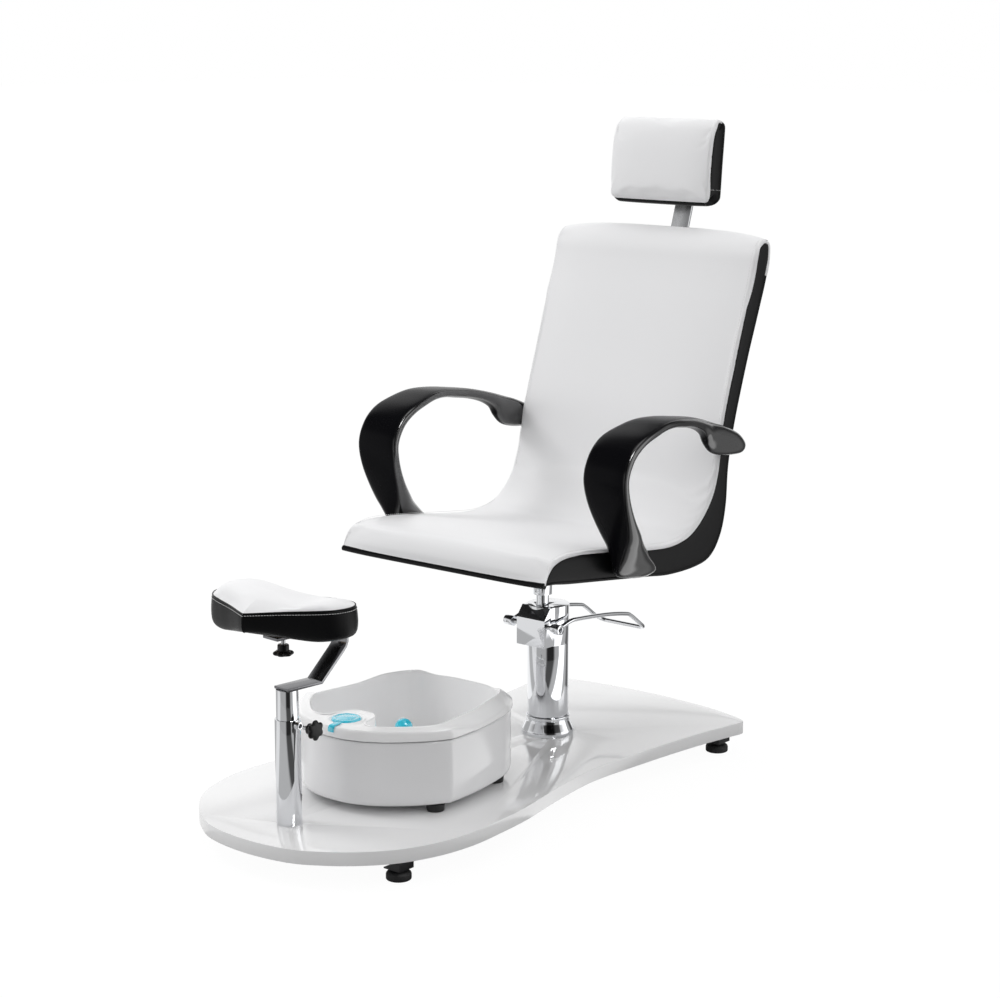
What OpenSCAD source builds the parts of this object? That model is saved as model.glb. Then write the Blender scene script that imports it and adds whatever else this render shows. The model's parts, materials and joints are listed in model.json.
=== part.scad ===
// Pedicure chair: a padded one-piece seat on a hydraulic column, with loop armrests, a sliding
// headrest, a raised footrest and a foot basin, all on one glossy platform board on levelling feet.
// Millimetres, +Z up, the sitter faces -Y and +X is the sitter's left.

/* [Platform] */
// Length of the platform board
deck_length = 1191; // [1150:1:1260]
// Largest width of the platform board
deck_width = 562; // [520:1:640]
// Thickness of the platform board
deck_thickness = 25; // [20:1:32]
// Front tip of the board to the pump axis
pump_setback = 838; // [825:1:850]
// Levelling foot, distance off the centre line at the front
front_foot_x = 219; // [190:1:225]
// Levelling foot, distance off the centre line at the rear
rear_foot_x = 215; // [190:1:222]
// Front tip of the board to the front feet
front_foot_setback = 158; // [150:1:220]
// Rear edge of the board to the rear feet
rear_foot_inset = 72; // [66:1:110]

/* [Levelling feet] */
// Diameter of a rubber foot pad
pad_diameter = 45; // [36:1:50]
// Height of a rubber foot pad
pad_height = 16; // [12:1:22]
// Gap between the pad and its bracket, filled by the lock nut
nut_gap = 4; // [3:0.5:8]
// Width of the folded foot bracket
bracket_width = 37; // [32:1:44]
// Height of the folded foot bracket
bracket_height = 20; // [18:1:28]
// Thickness of the bracket steel
bracket_thickness = 2.5; // [2:0.5:4]
// Diameter of the foot stud
stud_diameter = 10; // [8:1:12]

/* [Pump] */
// Diameter of the chromed pump column
column_diameter = 82; // [78:1:90]
// Board to the top of the pump column
column_height = 185; // [180:1:210]
// Diameter of the base ring
base_ring_diameter = 104; // [100:1:120]
// Height of the pump head above the column
head_height = 78; // [74:1:90]
// Diameter of the pump head
head_diameter = 84; // [80:1:92]
// Width of the square block on the head
block_width = 70; // [60:1:76]
// Pump axis to the front face of the block
block_reach = 55; // [53:1:62]
// Distance of the lifting rod in front of the column axis
rod_offset = 18; // [16:1:19]
// Diameter of the lifting rod
rod_diameter = 25.6; // [22:0.2:27]
// Diameter of the piston
piston_diameter = 36; // [34:1:37]
// Outer diameter of the lifting cylinder
cylinder_diameter = 42; // [41:1:42]

/* [Pedal] */
// Diameter of the lever wire
wire_diameter = 8; // [6:0.5:10]
// Distance between the two lever arms
lever_spread = 118; // [112:1:140]
// Diameter of the pedal shaft
shaft_diameter = 10; // [8:0.5:11]
// Diameter of the bosses that clamp the lever
boss_diameter = 20; // [18:1:26]
// Length of each boss
boss_length = 20; // [18:1:28]
// Pump axis to the crossbar of the lever
lever_reach = 248; // [220:1:265]

/* [Seat] */
// Width of the seat and back
seat_width = 500; // [460:1:520]
// Front lip to the rearmost edge of the back
seat_run = 707; // [690:1:730]
// Lowest point of the seat to the top edge of the back
seat_rise = 625; // [600:1:660]
// Board to the lowest point of the seat shell
seat_height = 346; // [340:1:380]
// Front lip of the seat to the pump axis
lip_setback = 321; // [310:1:330]
// Crown of the padded surface
seat_crown = 9; // [4:1:14]
// Thickness of a side panel
side_panel = 4; // [3:0.5:8]
// Diameter of the swivel socket under the seat
socket_diameter = 39; // [36:1:44]
// Board to the bottom of the swivel socket
socket_base = 286; // [280:1:300]

/* [Armrests] */
// Width of the armrest band at its front bend
arm_band = 92; // [80:1:100]
// Thickness of the armrest band at its front bend
arm_thickness = 22; // [18:1:26]
// Seat side to the middle of the band at the front bend
arm_stand_off = 35; // [30:1:42]
// Front edge of the armrest loop to its rear tip
arm_run = 470; // [450:1:480]
// Foot of the armrest loop to its top
arm_rise = 300; // [290:1:305]

/* [Headrest] */
// Width of the headrest pad
headrest_width = 250; // [210:1:280]
// Height of the headrest pad
headrest_height = 168; // [140:1:176]
// Thickness of the headrest pad
headrest_thickness = 48; // [42:1:54]
// Middle of the headrest pad over its tilting pin
pad_over_pin = 7; // [2:1:20]
// Width of the flat steel bar
bar_width = 42; // [36:1:48]
// Thickness of the flat steel bar
bar_thickness = 6; // [5:0.5:8]
// Back cover to the middle of the bar
bar_stand_off = 24; // [22:1:30]

/* [Footrest] */
// Front tip of the board to the footrest post
post_setback = 112; // [104:1:125]
// Outer diameter of the fixed post
post_diameter = 46; // [45:1:50]
// Height of the fixed post
post_height = 192; // [185:1:215]
// Diameter of the sliding tube
mast_diameter = 40; // [36:1:41]
// Board to the top of the sliding tube
mast_top = 245; // [240:1:262]
// Width of the bent steel arm
arm_plate_width = 39; // [34:1:46]
// Thickness of the bent steel arm
arm_plate_thickness = 5; // [4:0.5:6]
// Board to the top of the arm under the cushion
arm_plate_top = 345.5; // [340:0.5:352]
// Turn of the arm about the post, towards the sitter's left
arm_yaw = 5; // [0:1:20]
// Turn of the cushion on its stud, towards the sitter's right
cushion_yaw = 17; // [-20:1:20]
// Width of the footrest cushion
cushion_width = 286; // [250:1:320]
// Depth of the footrest cushion
cushion_depth = 172; // [150:1:190]
// Height of the black side of the footrest cushion
cushion_side = 49; // [40:1:60]
// Rise of the two lobes of the cushion above its seam
lobe_rise = 26; // [16:1:34]
// Diameter of a clamping star knob
knob_diameter = 37; // [32:1:42]

/* [Basin] */
// Width of the foot basin
basin_width = 362; // [340:1:370]
// Length of the foot basin
basin_length = 398; // [380:1:405]
// Board to the rim of the basin
basin_height = 158; // [150:1:175]
// Height of the basin feet
basin_foot = 14; // [10:1:18]
// Wall thickness of the basin mouldings
basin_wall = 3; // [2.5:0.5:4]
// Front tip of the board to the front of the basin
basin_setback = 214; // [210:1:224]
// Diameter of the control dial
dial_diameter = 54; // [44:1:58]
// Diameter of the massage dome
dome_diameter = 34; // [30:1:44]

/* [Hidden] */
$fn = 64;

// Clearances and shared small sizes
fit = 0.05;
skin_gap = 0.2;
soft_gap = 0.3;
overrun = 1;
bolt_play = 1;

// Levels and places
deck_top = deck_thickness + bracket_height + nut_gap + pad_height;
deck_rear = deck_length - pump_setback;
foot_places = [
    [front_foot_x, front_foot_setback - pump_setback], [-front_foot_x, front_foot_setback - pump_setback],
    [rear_foot_x, deck_rear - rear_foot_inset], [-rear_foot_x, deck_rear - rear_foot_inset]
];
post_y = post_setback - pump_setback;

// Outline of the board: share of its half width, share of its length from the front tip
deck_outline_shares = [
    [0, 0], [0.331, 0.010], [0.552, 0.037], [0.733, 0.073], [0.875, 0.118], [0.968, 0.178],
    [1, 0.240], [0.985, 0.300], [0.945, 0.380], [0.854, 0.483], [0.790, 0.592], [0.815, 0.727],
    [0.836, 0.793], [0.872, 0.870], [0.918, 0.935], [0.930, 0.953], [0.912, 0.965],
    [0.800, 0.976], [0.500, 0.992], [0, 1]
];
// Side profile of the seat, from the lip to the top edge: inner Y, inner Z, outer Y, outer Z,
// as shares of the seat's run and rise, and how deep the white pad goes at that place
seat_profile_shares = [
    [0.000, 0.082, 0.000, 0.075, 0.66], [0.011, 0.109, 0.015, 0.074, 0.70],
    [0.035, 0.142, 0.044, 0.071, 0.70], [0.103, 0.156, 0.098, 0.061, 0.60],
    [0.229, 0.144, 0.220, 0.044, 0.50], [0.359, 0.126, 0.351, 0.026, 0.50],
    [0.454, 0.113, 0.447, 0.013, 0.50], [0.549, 0.105, 0.543, 0.000, 0.50],
    [0.631, 0.122, 0.660, 0.001, 0.50], [0.687, 0.163, 0.734, 0.021, 0.50],
    [0.722, 0.214, 0.782, 0.083, 0.50], [0.740, 0.270, 0.806, 0.174, 0.50],
    [0.754, 0.342, 0.815, 0.302, 0.50], [0.779, 0.462, 0.843, 0.438, 0.50],
    [0.832, 0.645, 0.898, 0.622, 0.50], [0.872, 0.780, 0.942, 0.750, 0.50],
    [0.895, 0.855, 0.967, 0.824, 0.50], [0.911, 0.915, 0.983, 0.880, 0.50],
    [0.919, 0.952, 0.999, 0.936, 0.70], [0.938, 0.984, 1.000, 0.975, 0.95],
    [0.958, 0.998, 0.990, 0.992, 1.00]
];
// Depth shares of the plywood core in the seat's thickness; the black cover lies behind it
core_shares = [0.50, 0.70];
// Rows of the profile that stay straight: under the seat plate and behind the bar guide
straight_rows = [4, 5, 6, 16, 17];
// Armrest loop from its rear tip to its foot: outer Y and Z, inner Y and Z as shares of run and
// rise, band width share, share of the stand-off
arm_loop_shares = [
    [1.051, 0.687, 1.045, 0.660, 0.18, 0], [1.040, 0.717, 1.021, 0.633, 0.26, 0],
    [0.991, 0.777, 0.968, 0.633, 0.3, 0], [0.904, 0.833, 0.883, 0.647, 0.31, 0],
    [0.840, 0.863, 0.813, 0.677, 0.32, 0], [0.798, 0.883, 0.772, 0.733, 0.33, 0],
    [0.755, 0.903, 0.747, 0.800, 0.35, 0.04], [0.698, 0.927, 0.687, 0.853, 0.4, 0.12],
    [0.613, 0.957, 0.602, 0.890, 0.5, 0.25], [0.517, 0.980, 0.511, 0.913, 0.62, 0.42],
    [0.423, 0.997, 0.421, 0.933, 0.74, 0.6], [0.332, 0.997, 0.338, 0.933, 0.85, 0.78],
    [0.243, 0.970, 0.260, 0.910, 0.94, 0.92], [0.153, 0.927, 0.183, 0.873, 1, 1],
    [0.090, 0.867, 0.130, 0.817, 1, 1], [0.052, 0.790, 0.098, 0.753, 1, 1],
    [0.034, 0.707, 0.081, 0.687, 1, 1], [0.036, 0.620, 0.083, 0.613, 1, 1],
    [0.055, 0.510, 0.102, 0.530, 0.95, 0.95], [0.089, 0.397, 0.140, 0.430, 0.86, 0.85],
    [0.130, 0.280, 0.196, 0.337, 0.72, 0.65], [0.160, 0.190, 0.260, 0.243, 0.53, 0.4],
    [0.185, 0.113, 0.326, 0.140, 0.37, 0.12], [0.211, 0.063, 0.372, 0.070, 0.31, 0],
    [0.238, 0.033, 0.387, 0.030, 0.29, 0], [0.268, 0.020, 0.349, 0.007, 0.22, 0]
];
// Half outline of the footrest cushion: share of its half width, share of its depth from the point
cushion_outline_shares = [
    [0, 0], [0.09, 0.070], [0.38, 0.240], [0.64, 0.380], [0.86, 0.515], [0.96, 0.630], [1, 0.740],
    [0.985, 0.850], [0.90, 0.945], [0.74, 0.990], [0.55, 1], [0.34, 0.975], [0.15, 0.945], [0, 0.935]
];
// Half outline of the basin: share of its half width, share of its length from the front
basin_outline_shares = [
    [0, 0], [0.25, 0.012], [0.50, 0.062], [0.72, 0.145], [0.89, 0.235], [0.985, 0.300], [1, 0.335],
    [0.985, 0.480], [0.925, 0.650], [0.830, 0.800], [0.660, 0.915], [0.360, 0.985], [0, 1]
];
// Half outline of the basin's opening, on the same two shares
mouth_outline_shares = [
    [0, 0.250], [0.11, 0.247], [0.205, 0.200], [0.265, 0.115], [0.42, 0.103], [0.62, 0.170],
    [0.78, 0.250], [0.845, 0.330], [0.800, 0.480], [0.760, 0.640], [0.700, 0.780], [0.560, 0.885],
    [0.300, 0.945], [0, 0.955]
];

// Points and directions
function unit(v) = v / norm(v);
function along(a, b, share) = a + (b - a) * share;
function spline(a, b, c, d, t) =
    (2 * b + (c - a) * t + (2 * a - 5 * b + 4 * c - d) * pow(t, 2) + (3 * b - a - 3 * c + d) * pow(t, 3)) / 2;
function smooth_loop(points, steps) =
    let (count = len(points))
    [for (i = [0:count - 1]) for (k = [0:steps - 1])
        spline(points[(i + count - 1) % count], points[i], points[(i + 1) % count],
            points[(i + 2) % count], k / steps)];
function smooth_path(points, steps) =
    let (last = len(points) - 1)
    [for (i = [0:last - 1]) for (k = [0:steps - 1])
        spline(points[max(i - 1, 0)], points[i], points[i + 1], points[min(i + 2, last)], k / steps),
     points[last]];
function both_halves(half) = concat(half, [for (i = [len(half) - 2:-1:1]) [-half[i].x, half[i].y]]);
function shaped(shares, width, length) = [for (s = shares) [s.x * width / 2, s.y * length]];
function middle(points) = [for (axis = [0:len(points[0]) - 1]) ([for (p = points) 1] * [for (p = points) p[axis]])]
    / len(points);
function grown(points, amount) =
    let (count = len(points))
    [for (i = [0:count - 1])
        let (run = unit(points[(i + 1) % count] - points[(i + count - 1) % count]))
        points[i] + [run.y, -run.x] * amount];
function strip(path, thickness) =
    let (last = len(path) - 1,
        normals = [for (i = [0:last])
            let (run = unit(path[min(i + 1, last)] - path[max(i - 1, 0)])) [-run.y, run.x]])
    concat([for (i = [0:last]) path[i] + normals[i] * thickness / 2],
        [for (i = [last:-1:0]) path[i] - normals[i] * thickness / 2]);

// Everything is placed from the pump axis at the top of the board
module on_deck() {
    translate([0, pump_y, deck_top]) children();
}

// A flat outline in the YZ plane, drawn out across X about the middle
module across(points, width) {
    rotate([90, 0, 90])
        linear_extrude(width, center = true) polygon(points);
}

// A closed solid over a list of equal rings
module skinned(rings) {
    count = len(rings);
    sides = len(rings[0]);
    points = concat([for (ring = rings) each ring], [middle(rings[0]), middle(rings[count - 1])]);
    walls = [for (i = [0:count - 2]) for (j = [0:sides - 1])
        let (here = i * sides + j, next = i * sides + (j + 1) % sides)
        each [[here, next, next + sides], [here, next + sides, here + sides]]];
    first = [for (j = [0:sides - 1]) [(j + 1) % sides, j, count * sides]];
    last_ring = (count - 1) * sides;
    last = [for (j = [0:sides - 1]) [last_ring + j, last_ring + (j + 1) % sides, count * sides + 1]];
    polyhedron(points, concat(walls, first, last));
}

// Star knob with its stud: the disc faces down, the stud points up
module star_knob(stud_length, stud_radius) {
    disc = knob_diameter / 4.5;
    lobes = 6;
    linear_extrude(disc)
        difference() {
            circle(d = knob_diameter);
            for (i = [0:lobes - 1])
                rotate(360 / lobes * i)
                    translate([knob_diameter * 0.6, 0]) circle(d = knob_diameter / 3.2, $fn = 24);
        }
    translate([0, 0, disc]) cylinder(d = knob_diameter * 0.56, h = knob_hub);
    translate([0, 0, disc + knob_hub]) cylinder(r = stud_radius, h = stud_length);
}
knob_hub = knob_diameter * 0.32;
knob_depth = knob_diameter / 4.5 + knob_hub;

// Seat profile in deck places: inner and outer line, and any line between them
last_row = len(seat_profile_shares) - 1;
row_steps = 2;
function is_straight(row) = len([for (r = straight_rows) if (r == row) r]) > 0;
profile_rows = [for (i = [0:last_row]) for (k = [0:(i == last_row ? 0 : row_steps - 1)])
    let (a = seat_profile_shares[i], b = seat_profile_shares[min(i + 1, last_row)])
    is_straight(i) ? along(a, b, k / row_steps)
        : spline(seat_profile_shares[max(i - 1, 0)], a, b, seat_profile_shares[min(i + 2, last_row)], k / row_steps)];
function profile_line(first, rows) =
    [for (s = rows) [s[first] * seat_run - lip_setback, s[first + 1] * seat_rise + seat_height]];
inner_line = profile_line(0, profile_rows);
outer_line = profile_line(2, profile_rows);
last_place = len(profile_rows) - 1;
// A slab between two depths of the seat, kept behind the white pad
function slab(first, last, from, to, offset = 0) =
    concat([for (i = [first:last])
            along(inner_line[i], outer_line[i], from == 0 ? 0 : max(from, profile_rows[i][4]))
                + unit(outer_line[i] - inner_line[i]) * offset],
        [for (p = [last:-1:first]) along(inner_line[p], outer_line[p], to)]);
// The straight stretch under the seat carries the steel plate, the one up the back the bar guide
under_from = outer_line[4 * row_steps];
under_to = outer_line[7 * row_steps];
under_tilt = atan2(under_to.y - under_from.y, under_to.x - under_from.x);
function profile_under(y) = under_from.y + (y - under_from.x) * tan(under_tilt);
module under_seat() {
    translate([0, -rod_offset, profile_under(-rod_offset)]) rotate([under_tilt, 0, 0]) children();
}
back_from = outer_line[16 * row_steps];
back_to = outer_line[18 * row_steps];
back_lean = atan2(back_to.x - back_from.x, back_to.y - back_from.y);
module behind_back() {
    translate([0, back_from.x, back_from.y]) rotate([-back_lean, 0, 0]) children();
}

// Platform board
deck_points = [for (p = smooth_loop(both_halves(shaped(deck_outline_shares, deck_width, deck_length)), 4))
    [p.x, p.y - pump_setback]];
pump_bolt_circle = 70;
pump_bolt_diameter = 8;
post_bolt_diameter = 12;
screw_diameter = 4;
screw_length = 16;
bracket_tab = 16;
screw_spacing = 20;
module deck() {
    color("white") on_deck()
        difference() {
            translate([0, 0, -deck_thickness]) linear_extrude(deck_thickness) polygon(deck_points);
            for (a = [45:90:315])
                rotate(a) translate([pump_bolt_circle / 2, 0, -deck_thickness - overrun])
                    cylinder(d = pump_bolt_diameter + bolt_play, h = deck_thickness + overrun * 2);
            translate([0, post_y, -deck_thickness - overrun])
                cylinder(d = post_bolt_diameter + bolt_play, h = deck_thickness + overrun * 2);
            at_feet() bracket_screw_places()
                translate([0, 0, -overrun]) cylinder(d = screw_diameter + fit * 2, h = screw_length + overrun);
        }
}

// Feet: each stands under the board with its bracket's open side inward
module at_feet() {
    for (p = foot_places)
        translate([p.x, p.y, -deck_thickness]) mirror([p.x < 0 ? 1 : 0, 0, 0]) children();
}
module bracket_screw_places() {
    for (side = [-1, 1])
        translate([-bracket_width / 2 - bracket_tab / 2, side * screw_spacing / 2, 0]) children();
}
weld_nut_height = 8;
weld_nut_width = 17;
module foot_brackets() {
    half = bracket_width / 2;
    color("dimgray") on_deck() at_feet()
        difference() {
            union() {
                translate([-half - bracket_tab, -half, -bracket_thickness])
                    cube([bracket_width + bracket_tab, bracket_width, bracket_thickness]);
                translate([half - bracket_thickness, -half, -bracket_height])
                    cube([bracket_thickness, bracket_width, bracket_height]);
                translate([-half, -half, -bracket_height])
                    cube([bracket_width, bracket_width, bracket_thickness]);
                for (side = [-1, 1])
                    translate([0, side * (half - bracket_thickness / 2) + bracket_thickness / 2, 0])
                        rotate([90, 0, 0])
                            linear_extrude(bracket_thickness)
                                polygon([[half, 0], [half, -bracket_height], [-half, -bracket_height]]);
                translate([0, 0, -bracket_height + bracket_thickness])
                    cylinder(d = weld_nut_width, h = weld_nut_height, $fn = 6);
            }
            translate([0, 0, -bracket_height - overrun])
                cylinder(d = stud_diameter + fit * 2, h = bracket_height + overrun - bracket_thickness);
            bracket_screw_places()
                translate([0, 0, -bracket_thickness - overrun])
                    cylinder(d = screw_diameter + fit * 2, h = bracket_thickness + overrun * 2);
        }
}
screw_head = 2.4;
module bracket_screws() {
    color("silver") on_deck() at_feet() bracket_screw_places() {
        translate([0, 0, -bracket_thickness]) cylinder(d = screw_diameter, h = screw_length);
        translate([0, 0, -bracket_thickness - screw_head])
            cylinder(d = screw_diameter * 2, h = screw_head);
    }
}
stud_seat = 8;
stud_rise = 13;
module foot_studs() {
    color("silver") on_deck() at_feet()
        translate([0, 0, -bracket_height - nut_gap - stud_seat])
            cylinder(d = stud_diameter, h = stud_seat + nut_gap + stud_rise);
}
module foot_locknuts() {
    color("silver") on_deck() at_feet()
        translate([0, 0, -bracket_height - nut_gap])
            difference() {
                cylinder(d = stud_diameter * 1.9, h = nut_gap - skin_gap, $fn = 6);
                translate([0, 0, -overrun]) cylinder(d = stud_diameter + fit * 2, h = nut_gap + overrun * 2);
            }
}
module foot_pads() {
    rim = pad_diameter / 2;
    color("black") on_deck() at_feet()
        translate([0, 0, -bracket_height - nut_gap - pad_height])
            rotate_extrude()
                polygon([
                    [0, 0], [rim * 0.93, 0], [rim, rim * 0.07], [rim, pad_height * 0.62],
                    [rim * 0.96, pad_height * 0.78], [rim * 0.86, pad_height * 0.91],
                    [rim * 0.7, pad_height], [stud_diameter / 2 + fit, pad_height],
                    [stud_diameter / 2 + fit, pad_height - stud_seat], [0, pad_height - stud_seat]
                ]);
}

// Pump: base plate, chromed covers, cylinder, rod and head
plate_thickness = 8;
cover_thickness = 1.5;
ring_height = 38;
plate_diameter = base_ring_diameter - cover_thickness * 2.4;
module pump_base_plate() {
    color("dimgray") on_deck()
        difference() {
            cylinder(d = plate_diameter, h = plate_thickness);
            for (a = [45:90:315])
                rotate(a) translate([pump_bolt_circle / 2, 0, -overrun])
                    cylinder(d = pump_bolt_diameter + fit * 2, h = plate_thickness + overrun * 2);
        }
}
module pump_base_ring() {
    inner = column_diameter / 2 + fit;
    outer = base_ring_diameter / 2;
    collar = inner + (outer - inner) * 0.25;
    groove = inner + (outer - inner) * 0.14;
    color("silver") on_deck()
        rotate_extrude()
            polygon([
                [plate_diameter / 2 + skin_gap, 0], [outer, 0], [outer, ring_height * 0.22],
                [outer - (outer - collar) * 0.12, ring_height * 0.28],
                [collar + (outer - collar) * 0.1, ring_height * 0.64], [collar, ring_height * 0.69],
                [collar, ring_height * 0.8], [groove, ring_height * 0.81], [groove, ring_height * 0.86],
                [collar, ring_height * 0.87], [collar, ring_height * 0.97], [groove, ring_height],
                [inner, ring_height], [inner, plate_thickness + skin_gap],
                [plate_diameter / 2 + skin_gap, plate_thickness + skin_gap]
            ]);
}
module pump_column() {
    color("silver") on_deck()
        translate([0, 0, plate_thickness])
            difference() {
                cylinder(d = column_diameter, h = column_height - plate_thickness);
                translate([0, 0, -overrun])
                    cylinder(d = column_diameter - cover_thickness * 2, h = column_height + overrun);
            }
}
bolt_head = 5.5;
module pump_bolts() {
    color("silver") on_deck()
        for (a = [45:90:315])
            rotate(a) translate([pump_bolt_circle / 2, 0, -deck_thickness]) {
                cylinder(d = pump_bolt_diameter, h = deck_thickness + plate_thickness - overrun);
                translate([0, 0, -bolt_head])
                    cylinder(d = pump_bolt_diameter * 1.8, h = bolt_head, $fn = 6);
            }
}
gland_height = 8;
module lift_cylinder() {
    color("gray") on_deck()
        translate([0, -rod_offset, plate_thickness])
            difference() {
                cylinder(d = cylinder_diameter, h = column_height - plate_thickness - gland_height);
                translate([0, 0, -overrun])
                    cylinder(d = piston_diameter + fit * 2, h = column_height);
            }
}
module rod_gland() {
    color("goldenrod") on_deck()
        translate([0, -rod_offset, column_height - gland_height])
            difference() {
                cylinder(d = cylinder_diameter, h = gland_height - skin_gap);
                translate([0, 0, -overrun]) cylinder(d = rod_diameter + fit * 2, h = gland_height + overrun * 2);
            }
}

// The pedal shaft turns an eccentric cam that drives the plunger down
cam_throw = 5;
cam_diameter = 12;
cam_width = 12;
cam_room = 1;
cam_stroke = 3;
shaft_inset = 4;
shaft_rise = 42.5;
shaft_y = -block_reach + shaft_diameter / 2 + shaft_inset;
shaft_z = column_height + shaft_rise;
shaft_length = lever_spread + boss_length / 2;
block_base = column_height + overrun;
block_height = 56;
plunger_diameter = 10;
plunger_length = 26;
plunger_y = shaft_y + cam_throw;
plunger_top = shaft_z - cam_diameter / 2 - skin_gap;
module pump_head() {
    top = column_height + head_height;
    roof = head_height - block_height;
    room_front = shaft_y - shaft_diameter / 2 - cam_room;
    room_base = shaft_z - cam_diameter / 2 - cam_stroke;
    color("silver") on_deck()
        difference() {
            union() {
                translate([0, 0, column_height]) cylinder(d = head_diameter, h = head_height);
                across([
                    [0, block_base], [-block_reach, block_base],
                    [-block_reach, column_height + block_height], [-block_reach + roof * 0.8, top],
                    [0, top]
                ], block_width);
            }
            translate([0, -rod_offset, column_height - overrun])
                cylinder(d = rod_diameter + bolt_play, h = head_height + overrun * 2);
            translate([-block_width / 2 - overrun, shaft_y, shaft_z]) rotate([0, 90, 0])
                cylinder(d = shaft_diameter + fit * 2, h = block_width + overrun * 2);
            translate([-cam_width / 2 - cam_room, room_front, room_base])
                cube([
                    cam_width + cam_room * 2, plunger_y + cam_diameter / 2 + cam_room - room_front,
                    cam_diameter + cam_stroke + cam_room
                ]);
            translate([0, plunger_y, plunger_top - plunger_length - cam_stroke])
                cylinder(d = plunger_diameter + fit * 2, h = plunger_length + cam_stroke);
        }
}
module pump_plunger() {
    color("goldenrod") on_deck()
        translate([0, plunger_y, plunger_top - plunger_length])
            cylinder(d = plunger_diameter, h = plunger_length);
}
module pedal_shaft() {
    color("gray") on_deck() {
        translate([-shaft_length / 2, shaft_y, shaft_z]) rotate([0, 90, 0])
            cylinder(d = shaft_diameter, h = shaft_length);
        translate([-cam_width / 2, plunger_y, shaft_z]) rotate([0, 90, 0])
            cylinder(d = cam_diameter, h = cam_width);
    }
}
module at_bosses() {
    for (side = [-1, 1])
        translate([side * lever_spread / 2, shaft_y, shaft_z]) children();
}
boss_screw = 5;
wire_rise = 10;
module pedal_bosses() {
    color("silver") on_deck() at_bosses()
        difference() {
            rotate([0, 90, 0]) cylinder(d = boss_diameter, h = boss_length, center = true);
            rotate([0, 90, 0])
                cylinder(d = shaft_diameter + fit * 2, h = boss_length + overrun * 2, center = true);
            rotate([90, 0, 0]) cylinder(d = boss_screw + fit * 2, h = boss_diameter);
            rotate([wire_rise - 90, 0, 0]) cylinder(d = wire_diameter + fit * 2, h = boss_diameter);
        }
}
module boss_screws() {
    color("dimgray") on_deck() at_bosses()
        translate([0, -shaft_diameter / 2 - skin_gap, 0])
            rotate([90, 0, 0]) cylinder(d = boss_screw, h = (boss_diameter - shaft_diameter) / 2 - overrun);
}

// Lever: one bent wire, from boss to boss round the crossbar behind the column
lever_tip_drop = 55;
lever_kink_run = 62;
wire_sides = 12;
bend = 22;
function from_boss(share) = [
    lever_spread / 2, shaft_y + boss_diameter * share * cos(wire_rise),
    shaft_z + boss_diameter * share * sin(wire_rise)];
lever_half = [
    from_boss(0.32), from_boss(0.62), from_boss(0.95),
    [lever_spread / 2, shaft_y + boss_diameter * 2, shaft_z + boss_diameter * 0.42],
    [lever_spread / 2, shaft_y + boss_diameter * 3.3, shaft_z + boss_diameter * 0.44],
    [lever_spread / 2, (lever_reach - lever_kink_run) * 0.6, shaft_z],
    [lever_spread / 2, lever_reach - lever_kink_run - bend / 2, shaft_z - lever_tip_drop * 0.19],
    [lever_spread / 2, lever_reach - lever_kink_run + bend / 3, shaft_z - lever_tip_drop * 0.32],
    [lever_spread / 2, lever_reach - bend * 1.1, shaft_z - lever_tip_drop * 0.72],
    [lever_spread / 2 - bend * 0.1, lever_reach - bend * 0.5, shaft_z - lever_tip_drop * 0.88],
    [lever_spread / 2 - bend * 0.45, lever_reach - bend * 0.1, shaft_z - lever_tip_drop * 0.98],
    [lever_spread / 2 - bend, lever_reach, shaft_z - lever_tip_drop]
];
lever_path = concat(lever_half, [for (i = [len(lever_half) - 1:-1:0])
    [-lever_half[i].x, lever_half[i].y, lever_half[i].z]]);
function swept_rings(path, radius, sides) =
    let (last = len(path) - 1)
    [for (i = [0:last])
        let (run = unit(path[min(i + 1, last)] - path[max(i - 1, 0)]),
            side = unit(cross([0, 0, 1], run)), up = cross(run, side))
        [for (k = [0:sides - 1])
            path[i] + (side * cos(360 / sides * k) + up * sin(360 / sides * k)) * radius]];
module pedal_lever() {
    color("silver") on_deck() skinned(swept_rings(smooth_path(lever_path, 2), wire_diameter / 2, wire_sides));
}

// Lifting rod with its piston, and the socket it carries
seat_plate_thickness = 5;
socket_top = profile_under(-rod_offset) - seat_plate_thickness - skin_gap;
rod_short = 16;
rod_top = socket_top - rod_short;
piston_height = 15;
module lift_rod() {
    color("silver") on_deck()
        translate([0, -rod_offset, plate_thickness + skin_gap]) {
            cylinder(d = piston_diameter, h = piston_height);
            cylinder(d = rod_diameter, h = rod_top - plate_thickness - skin_gap);
        }
}
socket_screw_diameter = 6;
socket_screw_rise = 8;
socket_screw_z = socket_base + socket_screw_rise;
module seat_socket() {
    color("silver") on_deck()
        difference() {
            translate([0, -rod_offset, socket_base])
                cylinder(d = socket_diameter, h = socket_top + socket_diameter - socket_base);
            translate([0, -rod_offset, socket_base - overrun])
                cylinder(d = rod_diameter + fit * 2, h = rod_top + skin_gap - socket_base + overrun);
            translate([0, -rod_offset, socket_screw_z]) rotate([90, 0, 0])
                cylinder(d = socket_screw_diameter + fit * 2, h = socket_diameter);
            under_seat() translate([-seat_width / 2, -seat_width / 2, -seat_plate_thickness - skin_gap])
                cube([seat_width, seat_width, seat_width]);
        }
}
module socket_screw() {
    color("dimgray") on_deck()
        translate([0, -rod_offset - rod_diameter / 2 - skin_gap, socket_screw_z]) rotate([90, 0, 0])
            cylinder(d = socket_screw_diameter, h = (socket_diameter - rod_diameter) / 2 - overrun);
}

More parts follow.
